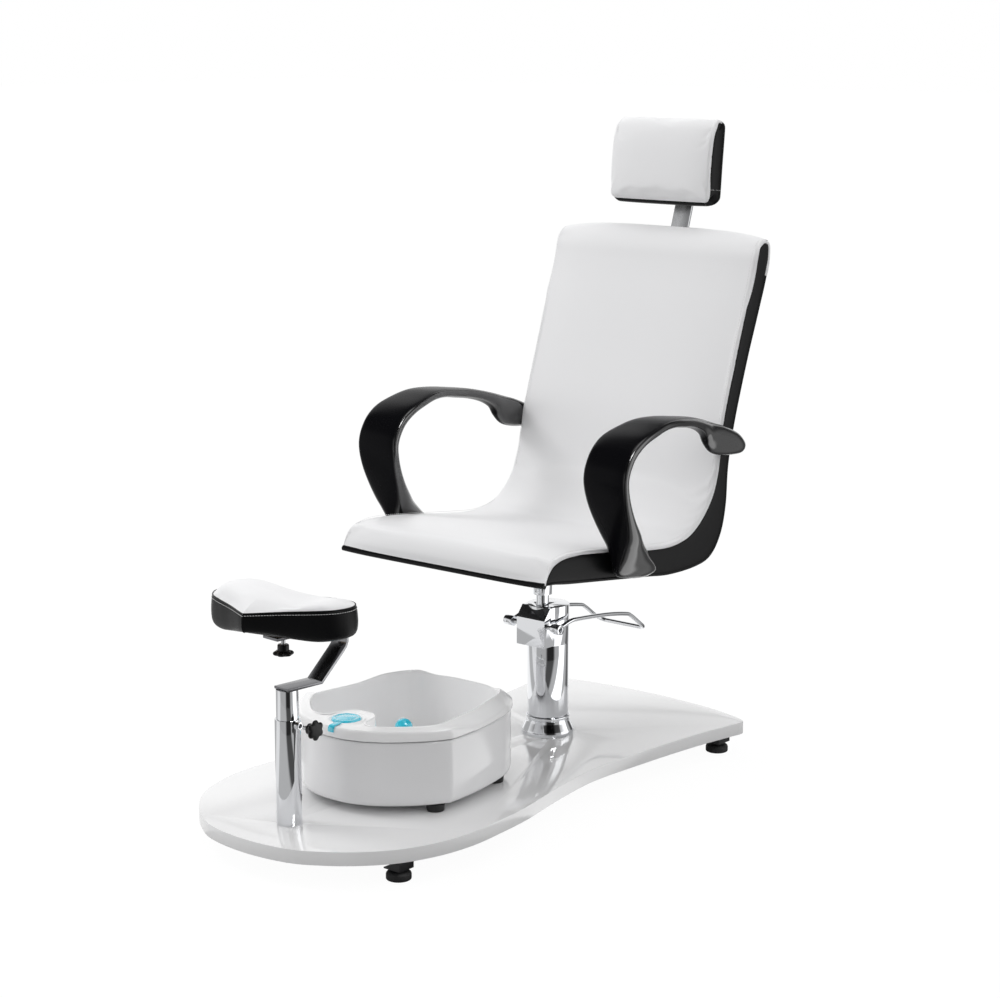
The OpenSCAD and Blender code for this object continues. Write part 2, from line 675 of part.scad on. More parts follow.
// Seat plate and its bolts
seat_plate_size = 200;
seat_bolt_spacing = 160;
seat_bolt_diameter = 8;
seat_bolt_length = 26;
module seat_plate() {
    color("dimgray") on_deck() under_seat()
        difference() {
            translate([-seat_plate_size / 2, -seat_plate_size / 2, -seat_plate_thickness - skin_gap])
                cube([seat_plate_size, seat_plate_size, seat_plate_thickness]);
            seat_bolt_places() translate([0, 0, -seat_plate_thickness - overrun])
                cylinder(d = seat_bolt_diameter + fit * 2, h = seat_plate_thickness + overrun * 2);
        }
}
module seat_bolt_places() {
    for (x = [-1, 1])
        for (y = [-1, 1])
            translate([x, y, 0] * seat_bolt_spacing / 2) children();
}
module seat_bolts() {
    color("silver") on_deck() under_seat() seat_bolt_places() {
        translate([0, 0, -seat_plate_thickness - skin_gap])
            cylinder(d = seat_bolt_diameter, h = seat_bolt_length);
        translate([0, 0, -seat_plate_thickness - bolt_head - skin_gap])
            cylinder(d = seat_bolt_diameter * 1.8, h = bolt_head, $fn = 6);
    }
}
inside_width = seat_width - side_panel * 2 - skin_gap * 2;
core_first = 4 * row_steps;
core_last = last_place - 3 * row_steps;
cover_last = last_place - 2 * row_steps;
module seat_bolt_holes() {
    under_seat() seat_bolt_places() translate([0, 0, -seat_plate_thickness - overrun])
        cylinder(d = seat_bolt_diameter + fit * 2, h = seat_bolt_length + overrun * 2);
}
module seat_core() {
    color("burlywood") on_deck()
        difference() {
            across(slab(core_first, core_last, core_shares[0], core_shares[1], skin_gap), inside_width);
            seat_bolt_holes();
            armrest_bolt_places() rotate([0, 90, 0])
                translate([0, 0, -arm_bolt_length]) cylinder(d = arm_bolt_diameter + fit * 2, h = arm_bolt_length * 2);
        }
}
module back_cover() {
    color("#1a1a1a") on_deck()
        difference() {
            across(slab(0, cover_last, core_shares[1], 1, skin_gap), inside_width);
            seat_bolt_holes();
            guide_screw_places() translate([0, 0, -guide_screw_length])
                cylinder(d = screw_diameter + fit * 2, h = guide_screw_length * 2);
        }
}
module side_panel_shape(side) {
    color("#151515") on_deck()
        difference() {
            translate([side * (seat_width - side_panel) / 2, 0, 0])
                across(slab(0, last_place, 0, 1), side_panel);
            armrest_bolt_places() rotate([0, 90, 0])
                translate([0, 0, -arm_bolt_length]) cylinder(d = arm_bolt_diameter + fit * 2, h = arm_bolt_length * 2);
        }
}
module side_panel_left() { side_panel_shape(1); }
module side_panel_right() { side_panel_shape(-1); }

// White pad: crowned across its width, its edges drawn in to the side panels
pad_steps = 6;
edge_draw = 5;
function pad_ring(i) =
    let (out = unit(inner_line[i] - outer_line[i]), low = along(inner_line[i], outer_line[i], profile_rows[i][4]))
    concat(
        [for (k = [-pad_steps:pad_steps])
            let (x = sin(90 / pad_steps * k), top = inner_line[i] + out * (seat_crown * (1 - pow(x, 4)) - edge_draw * pow(x, 12)))
            [x * inside_width / 2, top.x, top.y]],
        [for (x = [0.5, 0, -0.5]) [x * inside_width, low.x, low.y]]);
module seat_pad() {
    color("white") on_deck() skinned([for (i = [last_place:-1:0]) pad_ring(i)]);
}

arm_thickness_drawn = 22;

// Armrest loops: a band that lies flat on the seat's side at both ends and turns out round the front
arm_front = -210;
arm_foot_rise = 22;
arm_low = seat_height + arm_foot_rise;
arm_sides = 14;
arm_bolt_diameter = 6;
arm_bolt_length = 14;
arm_bolt_rows = [12.5, 5];
function arm_place(share_y, share_z) = [arm_front + share_y * arm_run, arm_low + share_z * arm_rise];
function arm_ring(s) =
    let (outer = arm_place(s[0], s[1]), inner = arm_place(s[2], s[3]),
        centre = (outer + inner) / 2, lift = unit(outer - inner), half = s[4] * arm_band / 2,
        deep = norm(outer - inner) / 2 * arm_thickness / arm_thickness_drawn,
        x = seat_width / 2 + soft_gap + along(half, arm_stand_off, s[5]))
    [for (k = [0:arm_sides - 1])
        let (a = 360 / arm_sides * (k + 0.5), c = cos(a), d = sin(a),
            u = sign(c) * pow(abs(c), 0.6) * half, v = sign(d) * pow(abs(d), 0.6) * deep)
        [x + u, centre.x + lift.x * v, centre.y + lift.y * v]];
module armrest_bolt_places() {
    for (side = [-1, 1])
        for (row = arm_bolt_rows)
            let (p = along(inner_line[row * row_steps], outer_line[row * row_steps],
                (core_shares[0] + core_shares[1]) / 2))
                translate([side * (seat_width / 2 - side_panel), p.x, p.y]) children();
}
module armrest_shape() {
    line = smooth_path(arm_loop_shares, 2);
    difference() {
        skinned([for (s = line) arm_ring(s)]);
        armrest_bolt_places() rotate([0, 90, 0])
            translate([0, 0, -arm_bolt_length]) cylinder(d = arm_bolt_diameter + fit * 4, h = arm_bolt_length * 2);
    }
}
module armrest_left() { color("#202020") on_deck() armrest_shape(); }
module armrest_right() { color("#202020") on_deck() mirror([1, 0, 0]) armrest_shape(); }
module armrest_bolts() {
    color("silver") on_deck() armrest_bolt_places() rotate([0, 90, 0])
        cylinder(d = arm_bolt_diameter, h = (arm_bolt_length - overrun) * 2, center = true);
}

// Headrest: guide on the back cover, bar, tilting pad
guide_width = 64;
guide_length = 62;
guide_wall = 10;
guide_start = 5;
guide_depth = bar_stand_off + bar_thickness / 2 + guide_wall;
guide_screw_length = 12;
guide_ear = 12;
ear_thickness = 4;
module guide_screw_places() {
    for (side = [-1, 1])
        for (end = [0.25, 0.75])
            behind_back()
                translate([side * (guide_width / 2 + guide_ear / 2), skin_gap, guide_start + guide_length * end])
                    rotate([-90, 0, 0]) children();
}
module headrest_guide() {
    color("#2a2a2a") on_deck()
        difference() {
            behind_back() translate([0, skin_gap, guide_start]) {
                translate([-guide_width / 2, 0, 0]) cube([guide_width, guide_depth, guide_length]);
                translate([-guide_width / 2 - guide_ear, 0, 0])
                    cube([guide_width + guide_ear * 2, ear_thickness, guide_length]);
            }
            behind_back() translate([0, bar_stand_off, guide_start - overrun])
                translate([-bar_width / 2 - fit, -bar_thickness / 2 - fit, 0])
                    cube([bar_width + fit * 2, bar_thickness + fit * 2, guide_length + overrun * 2]);
            behind_back() guide_knob_place() cylinder(d = knob_stud + fit * 2, h = guide_wall * 2, center = true);
            guide_screw_places() translate([0, 0, -overrun])
                cylinder(d = screw_diameter + fit * 2, h = ear_thickness + overrun * 2);
        }
}
module guide_screws() {
    color("silver") on_deck() guide_screw_places() {
        translate([0, 0, -guide_screw_length + overrun])
            cylinder(d = screw_diameter, h = guide_screw_length - overrun + ear_thickness);
        translate([0, 0, ear_thickness]) cylinder(d = screw_diameter * 2, h = screw_head);
    }
}
knob_stud = 8;
module guide_knob_place() {
    translate([0, guide_depth, guide_start + guide_length / 2]) rotate([-90, 0, 0]) children();
}
knob_clearance = 6;
module guide_knob() {
    color("#101010") on_deck() behind_back() guide_knob_place()
        mirror([0, 0, 1])
            translate([0, 0, -knob_depth - knob_clearance])
                star_knob(knob_clearance + guide_wall - skin_gap, knob_stud / 2);
}
bar_below = 120;
bar_above = 196;
pad_lean = 5;
function behind(y, z) = [
    back_from.x + y * cos(back_lean) + z * sin(back_lean), back_from.y - y * sin(back_lean) + z * cos(back_lean)];
bar_low = behind(bar_stand_off, guide_start - bar_below + guide_length);
bar_knee = behind(bar_stand_off, bar_above);
bar_end = bar_knee + [sin(pad_lean), cos(pad_lean)] * (headrest_height / 2);
rear_reach = bar_end.x + bar_thickness / 2 * cos(pad_lean);
pump_y = (pump_setback - rear_reach) / 2;
module headrest_bar() {
    color("silver") on_deck() across(strip([bar_low, bar_knee, bar_end], bar_thickness), bar_width);
}
// The yoke stands off the bar and carries the pin that the pad tilts on
pin_diameter = 8;
pin_stand = 18;
pin_share = 0.72;
pin_over = 2;
yoke_foot = along(bar_knee, bar_end, pin_share);
yoke_out = [-cos(pad_lean), sin(pad_lean)];
yoke_up = [sin(pad_lean), cos(pad_lean)];
pin_centre = yoke_foot + yoke_out * pin_stand;
yoke_width = 36;
yoke_ear = 6;
yoke_web = 4;
yoke_half = pin_diameter * 1.5;
function yoke_place(out, up) = yoke_foot + yoke_out * out + yoke_up * up;
module headrest_yoke() {
    near = bar_thickness / 2 + skin_gap / 2;
    color("dimgray") on_deck()
        difference() {
            union() {
                for (side = [-1, 1])
                    translate([side * (yoke_width - yoke_ear) / 2, 0, 0]) {
                        translate([0, pin_centre.x, pin_centre.y]) rotate([0, 90, 0])
                            cylinder(r = pin_diameter, h = yoke_ear, center = true);
                        across([
                            yoke_place(near, -yoke_half), yoke_place(near, yoke_half),
                            yoke_place(pin_stand, pin_diameter), yoke_place(pin_stand, -pin_diameter)
                        ], yoke_ear);
                    }
                across([
                    yoke_place(near, -yoke_half), yoke_place(near, yoke_half),
                    yoke_place(near + yoke_web, yoke_half), yoke_place(near + yoke_web, -yoke_half)
                ], yoke_width);
            }
            translate([0, pin_centre.x, pin_centre.y]) rotate([0, 90, 0])
                cylinder(d = pin_diameter + fit * 2, h = yoke_width + overrun * 2, center = true);
        }
}
module headrest_pin() {
    color("silver") on_deck() translate([0, pin_centre.x, pin_centre.y]) rotate([0, 90, 0])
        cylinder(d = pin_diameter, h = yoke_width + pin_over * 2, center = true);
}
// The pad's own place: the origin is the middle of its rear face
pad_stand = 34;
pad_back = [pin_centre.x - pad_stand, pin_centre.y + pad_over_pin];
backplate_thickness = 4;
backplate_width = 110;
backplate_height = 90;
module at_headrest() {
    translate([0, pad_back.x, pad_back.y]) rotate([-pad_lean, 0, 0]) children();
}
lug_width = yoke_width - yoke_ear * 2 - fit * 4;
lug_foot = pin_centre + yoke_out * (pad_stand - backplate_thickness / 2);
module headrest_backplate() {
    color("dimgray") on_deck()
        difference() {
            union() {
                at_headrest()
                    translate([-backplate_width / 2, skin_gap, -backplate_height / 2])
                        cube([backplate_width, backplate_thickness, backplate_height]);
                translate([0, pin_centre.x, pin_centre.y]) rotate([0, 90, 0])
                    cylinder(r = pin_diameter, h = lug_width, center = true);
                across([
                    pin_centre + yoke_up * pin_diameter, pin_centre - yoke_up * pin_diameter,
                    lug_foot - yoke_up * pin_diameter, lug_foot + yoke_up * pin_diameter
                ], lug_width);
            }
            translate([0, pin_centre.x, pin_centre.y]) rotate([0, 90, 0])
                cylinder(d = pin_diameter + fit * 2, h = lug_width + overrun * 2, center = true);
        }
}
// Rounded rectangle of the pad, drawn in by an inset at a depth
pad_corner = 20;
pad_corner_steps = 5;
function pad_outline(inset, depth) =
    let (w = headrest_width / 2 - pad_corner, h = headrest_height / 2 - pad_corner)
    [for (corner = [0:3]) for (k = [0:pad_corner_steps])
        let (a = corner * 90 + 90 / pad_corner_steps * k)
        [(corner == 0 || corner == 3 ? w : -w) + cos(a) * pad_corner - inset * cos(a) * 1.2,
         depth,
         (corner < 2 ? h : -h) + sin(a) * pad_corner - inset * sin(a) * 1.2]];
function face_ring(share, depth) = [for (p = pad_outline(0, depth)) [p.x * share, p.y, p.z * share]];
white_share = 0.56;
seam_inset = 1;
rear_round = 3;
front_round = 5;
module headrest_pad() {
    front = -headrest_thickness;
    split = -headrest_thickness * (1 - white_share);
    color("white") on_deck() at_headrest()
        skinned([
            pad_outline(seam_inset, split - skin_gap), pad_outline(0, split - headrest_thickness * 0.12),
            pad_outline(seam_inset, front + headrest_thickness * 0.22),
            pad_outline(front_round, front + headrest_thickness * 0.1),
            face_ring(0.84, front + headrest_thickness * 0.03), face_ring(0.6, front),
            face_ring(0.3, front - seam_inset)
        ]);
}
module headrest_shell() {
    split = -headrest_thickness * (1 - white_share);
    color("#151515") on_deck() at_headrest()
        skinned([
            face_ring(0.5, 0), face_ring(0.9, 0), pad_outline(rear_round, -headrest_thickness * 0.05),
            pad_outline(0, -headrest_thickness * 0.16), pad_outline(0, split + headrest_thickness * 0.08),
            pad_outline(seam_inset, split)
        ]);
}

// Footrest post: the fixed tube, its plug and the bolt from under the board
post_bore = mast_diameter / 2 + fit;
post_boss = 7;
post_knob_drop = 9;
post_knob_z = post_height - post_knob_drop;
post_boss_reach = 8;
plug_height = 20;
module at_post() {
    translate([0, post_y, 0]) children();
}
module footrest_post() {
    color("silver") on_deck() at_post()
        difference() {
            union() {
                cylinder(d = post_diameter, h = post_height);
                translate([0, 0, post_knob_z]) rotate([0, 90, 0])
                    cylinder(r = post_boss, h = post_diameter / 2 + post_boss_reach);
            }
            translate([0, 0, -overrun]) cylinder(r = post_bore, h = post_height + overrun * 2);
            translate([0, 0, post_knob_z]) rotate([0, 90, 0])
                cylinder(d = knob_stud + fit * 2, h = post_diameter + post_boss_reach);
        }
}
module post_plug() {
    color("dimgray") on_deck() at_post()
        difference() {
            cylinder(r = post_bore - fit / 2, h = plug_height);
            translate([0, 0, -overrun]) cylinder(d = post_bolt_diameter + fit * 2, h = plug_height + overrun * 2);
        }
}
post_washer = 40;
module post_bolt() {
    washer = 3;
    color("silver") on_deck() at_post() translate([0, 0, -deck_thickness]) {
        cylinder(d = post_bolt_diameter, h = deck_thickness + plug_height - overrun);
        translate([0, 0, -washer]) cylinder(d = post_washer, h = washer);
        translate([0, 0, -washer - bolt_head]) cylinder(d = post_bolt_diameter * 1.75, h = bolt_head, $fn = 6);
    }
}
post_knob_reach = 52;
module post_knob() {
    color("#101010") on_deck() at_post()
        translate([post_knob_reach + knob_depth, 0, post_knob_z]) rotate([0, -90, 0])
            star_knob(post_knob_reach - mast_diameter / 2 - skin_gap, knob_stud / 2);
}

// Sliding tube with a plastic glide below and a cap above; the bent arm is welded on the cap
mast_wall = 2;
mast_base = 42;
glide_height = 12;
spigot = 16;
module mast_glide() {
    bore = mast_diameter / 2 - mast_wall;
    color("#303030") on_deck() at_post() {
        translate([0, 0, mast_base - glide_height]) cylinder(d = mast_diameter, h = glide_height - skin_gap);
        translate([0, 0, mast_base - glide_height]) cylinder(r = bore - fit, h = glide_height + spigot);
    }
}
module mast_tube() {
    color("silver") on_deck() at_post()
        translate([0, 0, mast_base])
            difference() {
                cylinder(d = mast_diameter, h = mast_top - mast_base);
                translate([0, 0, -overrun])
                    cylinder(d = mast_diameter - mast_wall * 2, h = mast_top - mast_base + overrun * 2);
            }
}
cap_height = 14;
module mast_cap() {
    color("gray") on_deck() at_post()
        translate([0, 0, mast_top - cap_height])
            cylinder(d = mast_diameter - mast_wall * 2 - fit * 2, h = cap_height);
}
arm_rear = 113;
arm_lower = 64;
arm_front_end = 13;
arm_rise_level = 42;
arm_top_front = 36;
module at_arm() {
    at_post() rotate(-arm_yaw) children();
}
slot_front = -24;
slot_rear = 46;
module footrest_arm() {
    low = mast_top + arm_plate_thickness / 2;
    high = arm_plate_top - arm_plate_thickness / 2;
    turn = (high - low - arm_rise_level) / 2;
    path = concat(
        [[-arm_front_end, low], [arm_lower, low]],
        [for (a = [-50:20:90])
            [arm_rear - turn * 0.65 + turn * cos(a) * 1.1, high - turn + turn * sin(a)]],
        [[-arm_top_front, high]]);
    color("silver") on_deck() at_arm()
        difference() {
            across(strip(path, arm_plate_thickness), arm_plate_width);
            translate([0, 0, high]) {
                for (end = [slot_front, slot_rear])
                    translate([0, end, 0])
                        cylinder(d = knob_stud + fit * 2, h = arm_plate_thickness * 2, center = true);
                translate([0, (slot_front + slot_rear) / 2, 0])
                    cube([knob_stud + fit * 2, slot_rear - slot_front, arm_plate_thickness * 2], center = true);
            }
        }
}

// Footrest cushion: plywood board, black side band and the white two-lobed top
board_thickness = 7;
stud_y = -7;
stud_share = 0.6;
stud_offset = 15;
cushion_base = arm_plate_top + skin_gap + board_thickness;
cushion_shape = both_halves(shaped(cushion_outline_shares, cushion_width, cushion_depth));
cushion_smooth = smooth_loop(cushion_shape, 2);
cushion_centre = [0, cushion_depth * stud_share];
function cushion_point(p, share) = along(cushion_centre, p, share) - cushion_centre - [stud_offset, 0];
function lobe(x) = (1 - cos(180 * min(abs(x + stud_offset) / (cushion_width * 0.27), 1))) / 2;
function cushion_ring(share, height, rise) =
    [for (p = cushion_smooth) let (q = cushion_point(p, share)) [q.x, q.y, height + rise * lobe(q.x)]];
board_inset_share = 0.86;
module at_cushion() {
    at_arm() translate([0, stud_y, 0]) rotate(cushion_yaw) children();
}
module footrest_board() {
    color("burlywood") on_deck() at_cushion()
        difference() {
            translate([0, 0, arm_plate_top + skin_gap / 2]) linear_extrude(board_thickness)
                polygon([for (p = cushion_smooth) cushion_point(p, board_inset_share)]);
            translate([0, 0, arm_plate_top - overrun])
                cylinder(d = knob_stud + fit * 2, h = board_thickness);
        }
}
seam_level = cushion_base + cushion_side;
module footrest_band() {
    color("#151515") on_deck() at_cushion()
        skinned([
            cushion_ring(0.93, cushion_base, 0), cushion_ring(0.985, cushion_base + cushion_side * 0.12, 0),
            cushion_ring(1, cushion_base + cushion_side * 0.4, 0),
            cushion_ring(0.99, cushion_base + cushion_side * 0.8, 0),
            cushion_ring(0.965, seam_level, 0)
        ]);
}
module footrest_cushion() {
    color("white") on_deck() at_cushion()
        skinned([
            cushion_ring(0.965, seam_level + skin_gap, 0),
            cushion_ring(0.955, seam_level + lobe_rise * 0.12, lobe_rise * 0.1),
            cushion_ring(0.9, seam_level + lobe_rise * 0.2, lobe_rise * 0.34),
            cushion_ring(0.8, seam_level + lobe_rise * 0.2, lobe_rise * 0.62),
            cushion_ring(0.62, seam_level + lobe_rise * 0.16, lobe_rise * 0.82),
            cushion_ring(0.4, seam_level + lobe_rise * 0.14, lobe_rise * 0.86),
            cushion_ring(0.18, seam_level + lobe_rise * 0.13, lobe_rise * 0.86)
        ]);
}
footrest_knob_drop = 13;
module footrest_knob() {
    reach = footrest_knob_drop + board_thickness + arm_plate_thickness - overrun * 2;
    color("#101010") on_deck() at_arm()
        translate([0, stud_y, arm_plate_top - arm_plate_thickness - footrest_knob_drop - knob_depth])
            star_knob(reach, knob_stud / 2);
}

// Basin: lower shell, the tub moulding with its rim, and what they carry
basin_y = basin_setback - pump_setback;
basin_smooth = smooth_loop(both_halves(shaped(basin_outline_shares, basin_width, basin_length)), 3);
mouth_smooth = smooth_loop(both_halves(shaped(mouth_outline_shares, basin_width, basin_length)), 3);
rim_height = 22;
skirt = 3;
tub_clearance = 16;
tub_floor = basin_foot + tub_clearance;
basin_edge = basin_height - rim_height;
module at_basin() {
    translate([0, basin_y, 0]) children();
}
module basin_shell() {
    inner = grown(basin_smooth, -basin_wall);
    color("white") on_deck() at_basin() {
        translate([0, 0, basin_foot])
            difference() {
                linear_extrude(basin_edge - basin_foot - skin_gap) polygon(basin_smooth);
                translate([0, 0, basin_wall]) linear_extrude(basin_edge) polygon(inner);
            }
    }
}
module basin_tub() {
    rim = grown(basin_smooth, skirt);
    under_rim = grown(basin_smooth, skirt - basin_wall);
    well = grown(mouth_smooth, basin_wall);
    color("white") on_deck() at_basin()
        difference() {
            union() {
                translate([0, 0, basin_edge])
                    difference() {
                        linear_extrude(rim_height) polygon(rim);
                        translate([0, 0, -overrun])
                            linear_extrude(rim_height - basin_wall + overrun) polygon(under_rim);
                    }
                translate([0, 0, tub_floor - basin_wall])
                    linear_extrude(basin_height - tub_floor) polygon(well);
                translate([0, dial_y, basin_height - dial_post])
                    cylinder(d = dial_diameter * 0.5, h = dial_post - basin_wall / 2);
            }
            translate([0, 0, tub_floor])
                difference() {
                    linear_extrude(basin_height) polygon(mouth_smooth);
                    translate([0, dome_y, -overrun])
                        rotate_extrude()
                            polygon([
                                [0, 0], [ridge_width / 2, 0], [ridge_width / 2, overrun],
                                [ridge_width * 0.42, dome_level * 0.1], [dome_diameter * 0.56, dome_level * 0.5],
                                [dome_diameter / 2, dome_level - tub_floor + overrun - skin_gap],
                                [0, dome_level - tub_floor + overrun - skin_gap]
                            ]);
                }
            translate([0, dial_y, basin_height - dial_recess])
                cylinder(d = dial_diameter + skin_gap * 2, h = dial_recess + overrun);
            translate([0, dial_y, basin_height - dial_post - overrun])
                cylinder(d = dial_spindle + fit * 2, h = dial_post + overrun);
            translate([lens_x - lens_width / 2 - skin_gap, -basin_length * 0.05, basin_height - lens_drop])
                cube([lens_width + skin_gap * 2, basin_length * 0.05 + lens_depth, lens_drop + overrun]);
        }
}
dial_y = 46;
dial_recess = 2;
dial_post = 16;
dial_spindle = 8;
lens_width = 14;
lens_drop = 9;
lens_depth = 16;
lens_x = 9;
module control_dial() {
    dome = dial_diameter / 2;
    color("deepskyblue") on_deck() at_basin() translate([0, dial_y, 0]) {
        translate([0, 0, basin_height - dial_recess + skin_gap])
            rotate_extrude()
                polygon([
                    [0, 0], [dome, 0], [dome, dome * 0.08], [dome * 0.93, dome * 0.19],
                    [dome * 0.7, dome * 0.27], [dome * 0.35, dome * 0.31], [0, dome * 0.32]
                ]);
        translate([0, 0, basin_height - dial_post + overrun])
            cylinder(d = dial_spindle, h = dial_post);
    }
}
module dial_lens() {
    color("deepskyblue") on_deck() at_basin()
        translate([lens_x - lens_width / 2, -skirt + skin_gap, basin_height - lens_drop + skin_gap])
            cube([lens_width, lens_depth + skirt - skin_gap * 2, lens_drop + skin_gap]);
}
ridge_width = 70;
dome_level = 106;
dome_y = basin_length * 0.5;
module massage_dome() {
    color("deepskyblue") on_deck() at_basin() translate([0, dome_y, dome_level])
        difference() {
            sphere(d = dome_diameter);
            translate([0, 0, -dome_diameter / 2]) cube(dome_diameter, center = true);
        }
}
basin_foot_shares = [[0.84, 0.29], [0.70, 0.78]];
basin_foot_diameter = 35;
module basin_feet() {
    color("black") on_deck() at_basin()
        for (s = basin_foot_shares)
            for (side = [-1, 1])
                translate([side * s[0] * basin_width / 2, s[1] * basin_length, skin_gap])
                    cylinder(d1 = basin_foot_diameter * 0.9, d2 = basin_foot_diameter, h = basin_foot - skin_gap);
}
pump_unit = [90, 26, 60];
module bubble_pump() {
    color("dimgray") on_deck() at_basin()
        translate([-pump_unit.x / 2, basin_length * 0.045, basin_foot + basin_wall]) cube(pump_unit);
}

deck();
foot_brackets();
bracket_screws();
foot_studs();
foot_locknuts();
foot_pads();
pump_base_plate();
pump_base_ring();
pump_column();
pump_bolts();
lift_cylinder();
rod_gland();
pump_head();
lift_rod();
pump_plunger();
pedal_shaft();
pedal_bosses();
boss_screws();
pedal_lever();
seat_socket();
socket_screw();
seat_plate();
seat_bolts();
seat_core();
seat_pad();
back_cover();
side_panel_left();
side_panel_right();
armrest_left();
armrest_right();
armrest_bolts();
headrest_guide();
guide_screws();
guide_knob();
headrest_bar();
headrest_yoke();
headrest_pin();
headrest_backplate();
headrest_pad();
headrest_shell();
footrest_post();
post_plug();
post_bolt();
post_knob();
mast_glide();
mast_tube();
mast_cap();
footrest_arm();
footrest_board();
footrest_band();
footrest_cushion();
footrest_knob();
basin_shell();
basin_tub();
basin_feet();
bubble_pump();
massage_dome();
control_dial();
dial_lens();
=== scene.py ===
import json
import math

import bmesh
import bpy
import numpy as np
from mathutils import Matrix, Vector

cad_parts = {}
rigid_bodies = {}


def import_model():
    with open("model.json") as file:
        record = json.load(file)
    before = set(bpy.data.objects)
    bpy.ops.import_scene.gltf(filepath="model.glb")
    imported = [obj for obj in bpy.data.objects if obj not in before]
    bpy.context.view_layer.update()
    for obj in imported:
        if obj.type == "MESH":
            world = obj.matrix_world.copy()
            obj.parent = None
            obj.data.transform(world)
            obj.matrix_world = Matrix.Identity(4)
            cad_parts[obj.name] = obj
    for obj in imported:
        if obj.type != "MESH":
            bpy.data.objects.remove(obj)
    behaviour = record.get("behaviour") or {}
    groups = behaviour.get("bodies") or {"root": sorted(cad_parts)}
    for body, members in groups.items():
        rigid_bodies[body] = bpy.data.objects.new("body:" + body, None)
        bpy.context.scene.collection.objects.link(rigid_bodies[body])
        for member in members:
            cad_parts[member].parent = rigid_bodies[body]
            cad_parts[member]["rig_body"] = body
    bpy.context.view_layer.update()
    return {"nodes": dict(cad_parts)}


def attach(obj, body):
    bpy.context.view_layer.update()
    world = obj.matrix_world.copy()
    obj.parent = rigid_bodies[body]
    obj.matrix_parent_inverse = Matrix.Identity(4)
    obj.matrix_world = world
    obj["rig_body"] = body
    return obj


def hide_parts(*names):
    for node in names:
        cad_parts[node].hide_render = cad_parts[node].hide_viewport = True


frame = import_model()

# Camera: the photograph's own view, worked out from its ellipses and vertical lines.
# It looks 11.4 degrees down and is turned 40 degrees towards the sitter's left.
scene = bpy.context.scene
camera = bpy.data.objects.new("camera", bpy.data.cameras.new("camera"))
scene.collection.objects.link(camera)
camera.location = (2.8766, -3.37415, 1.4583)
camera.rotation_euler = (math.radians(90 - 11.37), 0, math.radians(40.0907))
camera.data.sensor_width = 36
camera.data.lens = 85.885
camera.data.clip_start = 0.1
camera.data.clip_end = 60
scene.camera = camera
scene.view_settings.view_transform = "Standard"

# Light: a white tent that lights the object plainly and shows white behind it and in its gloss.
# For gloss alone it has soft dark zones towards the camera and behind, which give chrome its streaks.
def node(tree, kind, settings=None, sockets=None):
    """A node of a type, with its settings made first and then what its sockets get or are linked to."""
    made = tree.nodes.new(kind)
    for name, value in (settings or {}).items():
        setattr(made, name, value)
    for name, value in (sockets or {}).items():
        if isinstance(value, Sum):
            tree.links.new(value.socket, made.inputs[name])
        else:
            made.inputs[name].default_value = value
    return made


class Sum:
    """A number or colour worked out by nodes, written with the usual signs."""

    def __init__(self, tree, socket):
        self.tree, self.socket = tree, socket

    def _math(self, operation, *values):
        made = node(self.tree, "ShaderNodeMath", {"operation": operation}, dict(enumerate(values)))
        return Sum(self.tree, made.outputs[0])

    def __add__(self, other):
        return self._math("ADD", self, other)

    def __radd__(self, other):
        return self._math("ADD", other, self)

    def __sub__(self, other):
        return self._math("SUBTRACT", self, other)

    def __rsub__(self, other):
        return self._math("SUBTRACT", other, self)

    def __mul__(self, other):
        return self._math("MULTIPLY", self, other)

    def __rmul__(self, other):
        return self._math("MULTIPLY", other, self)

    def __abs__(self):
        return self._math("ABSOLUTE", self)

    def larger(self, other):
        return self._math("MAXIMUM", self, other)

    def angle(self, across):
        return self._math("ARCTAN2", self, across)

    def ramp(self, low, high, to_low=0.0, to_high=1.0):
        made = node(self.tree, "ShaderNodeMapRange", {"interpolation_type": "SMOOTHSTEP"}, {
            "Value": self, "From Min": low, "From Max": high, "To Min": to_low, "To Max": to_high,
        })
        return Sum(self.tree, made.outputs["Result"])

    def colours(self, at_zero, at_one):
        made = node(self.tree, "ShaderNodeMix", {"data_type": "RGBA"}, {
            "Factor": self, "A": (*at_zero, 1), "B": (*at_one, 1),
        })
        return Sum(self.tree, made.outputs["Result"])


def coordinates(tree, kind):
    """The X, Y and Z of a texture coordinate."""
    vector = Sum(tree, node(tree, "ShaderNodeTexCoord").outputs[kind])
    return [Sum(tree, part) for part in node(tree, "ShaderNodeSeparateXYZ", None, {0: vector}).outputs]


def seen_by(tree, kind):
    """One for rays of a kind, and zero for others."""
    return Sum(tree, node(tree, "ShaderNodeLightPath").outputs["Is " + kind + " Ray"])


def around(angle):
    """How bright the tent is in gloss at an angle round the object, in radians from +X."""
    far = abs(angle - 2.30).ramp(0.55, 0.85, 1.0, 0.44)
    side = abs(angle - 0.55).ramp(0.28, 0.44, 1.7, 0.0)
    near = abs(angle + 2.34).ramp(0.28, 0.34, 0.80, 0.0)
    front = abs(angle + 0.66).ramp(0.26, 0.50, 0.05, 1.0)
    edge = abs(angle - 1.38).ramp(0.08, 0.26, 0.20, 1.0)
    return far.larger(side).larger(near) * front * edge


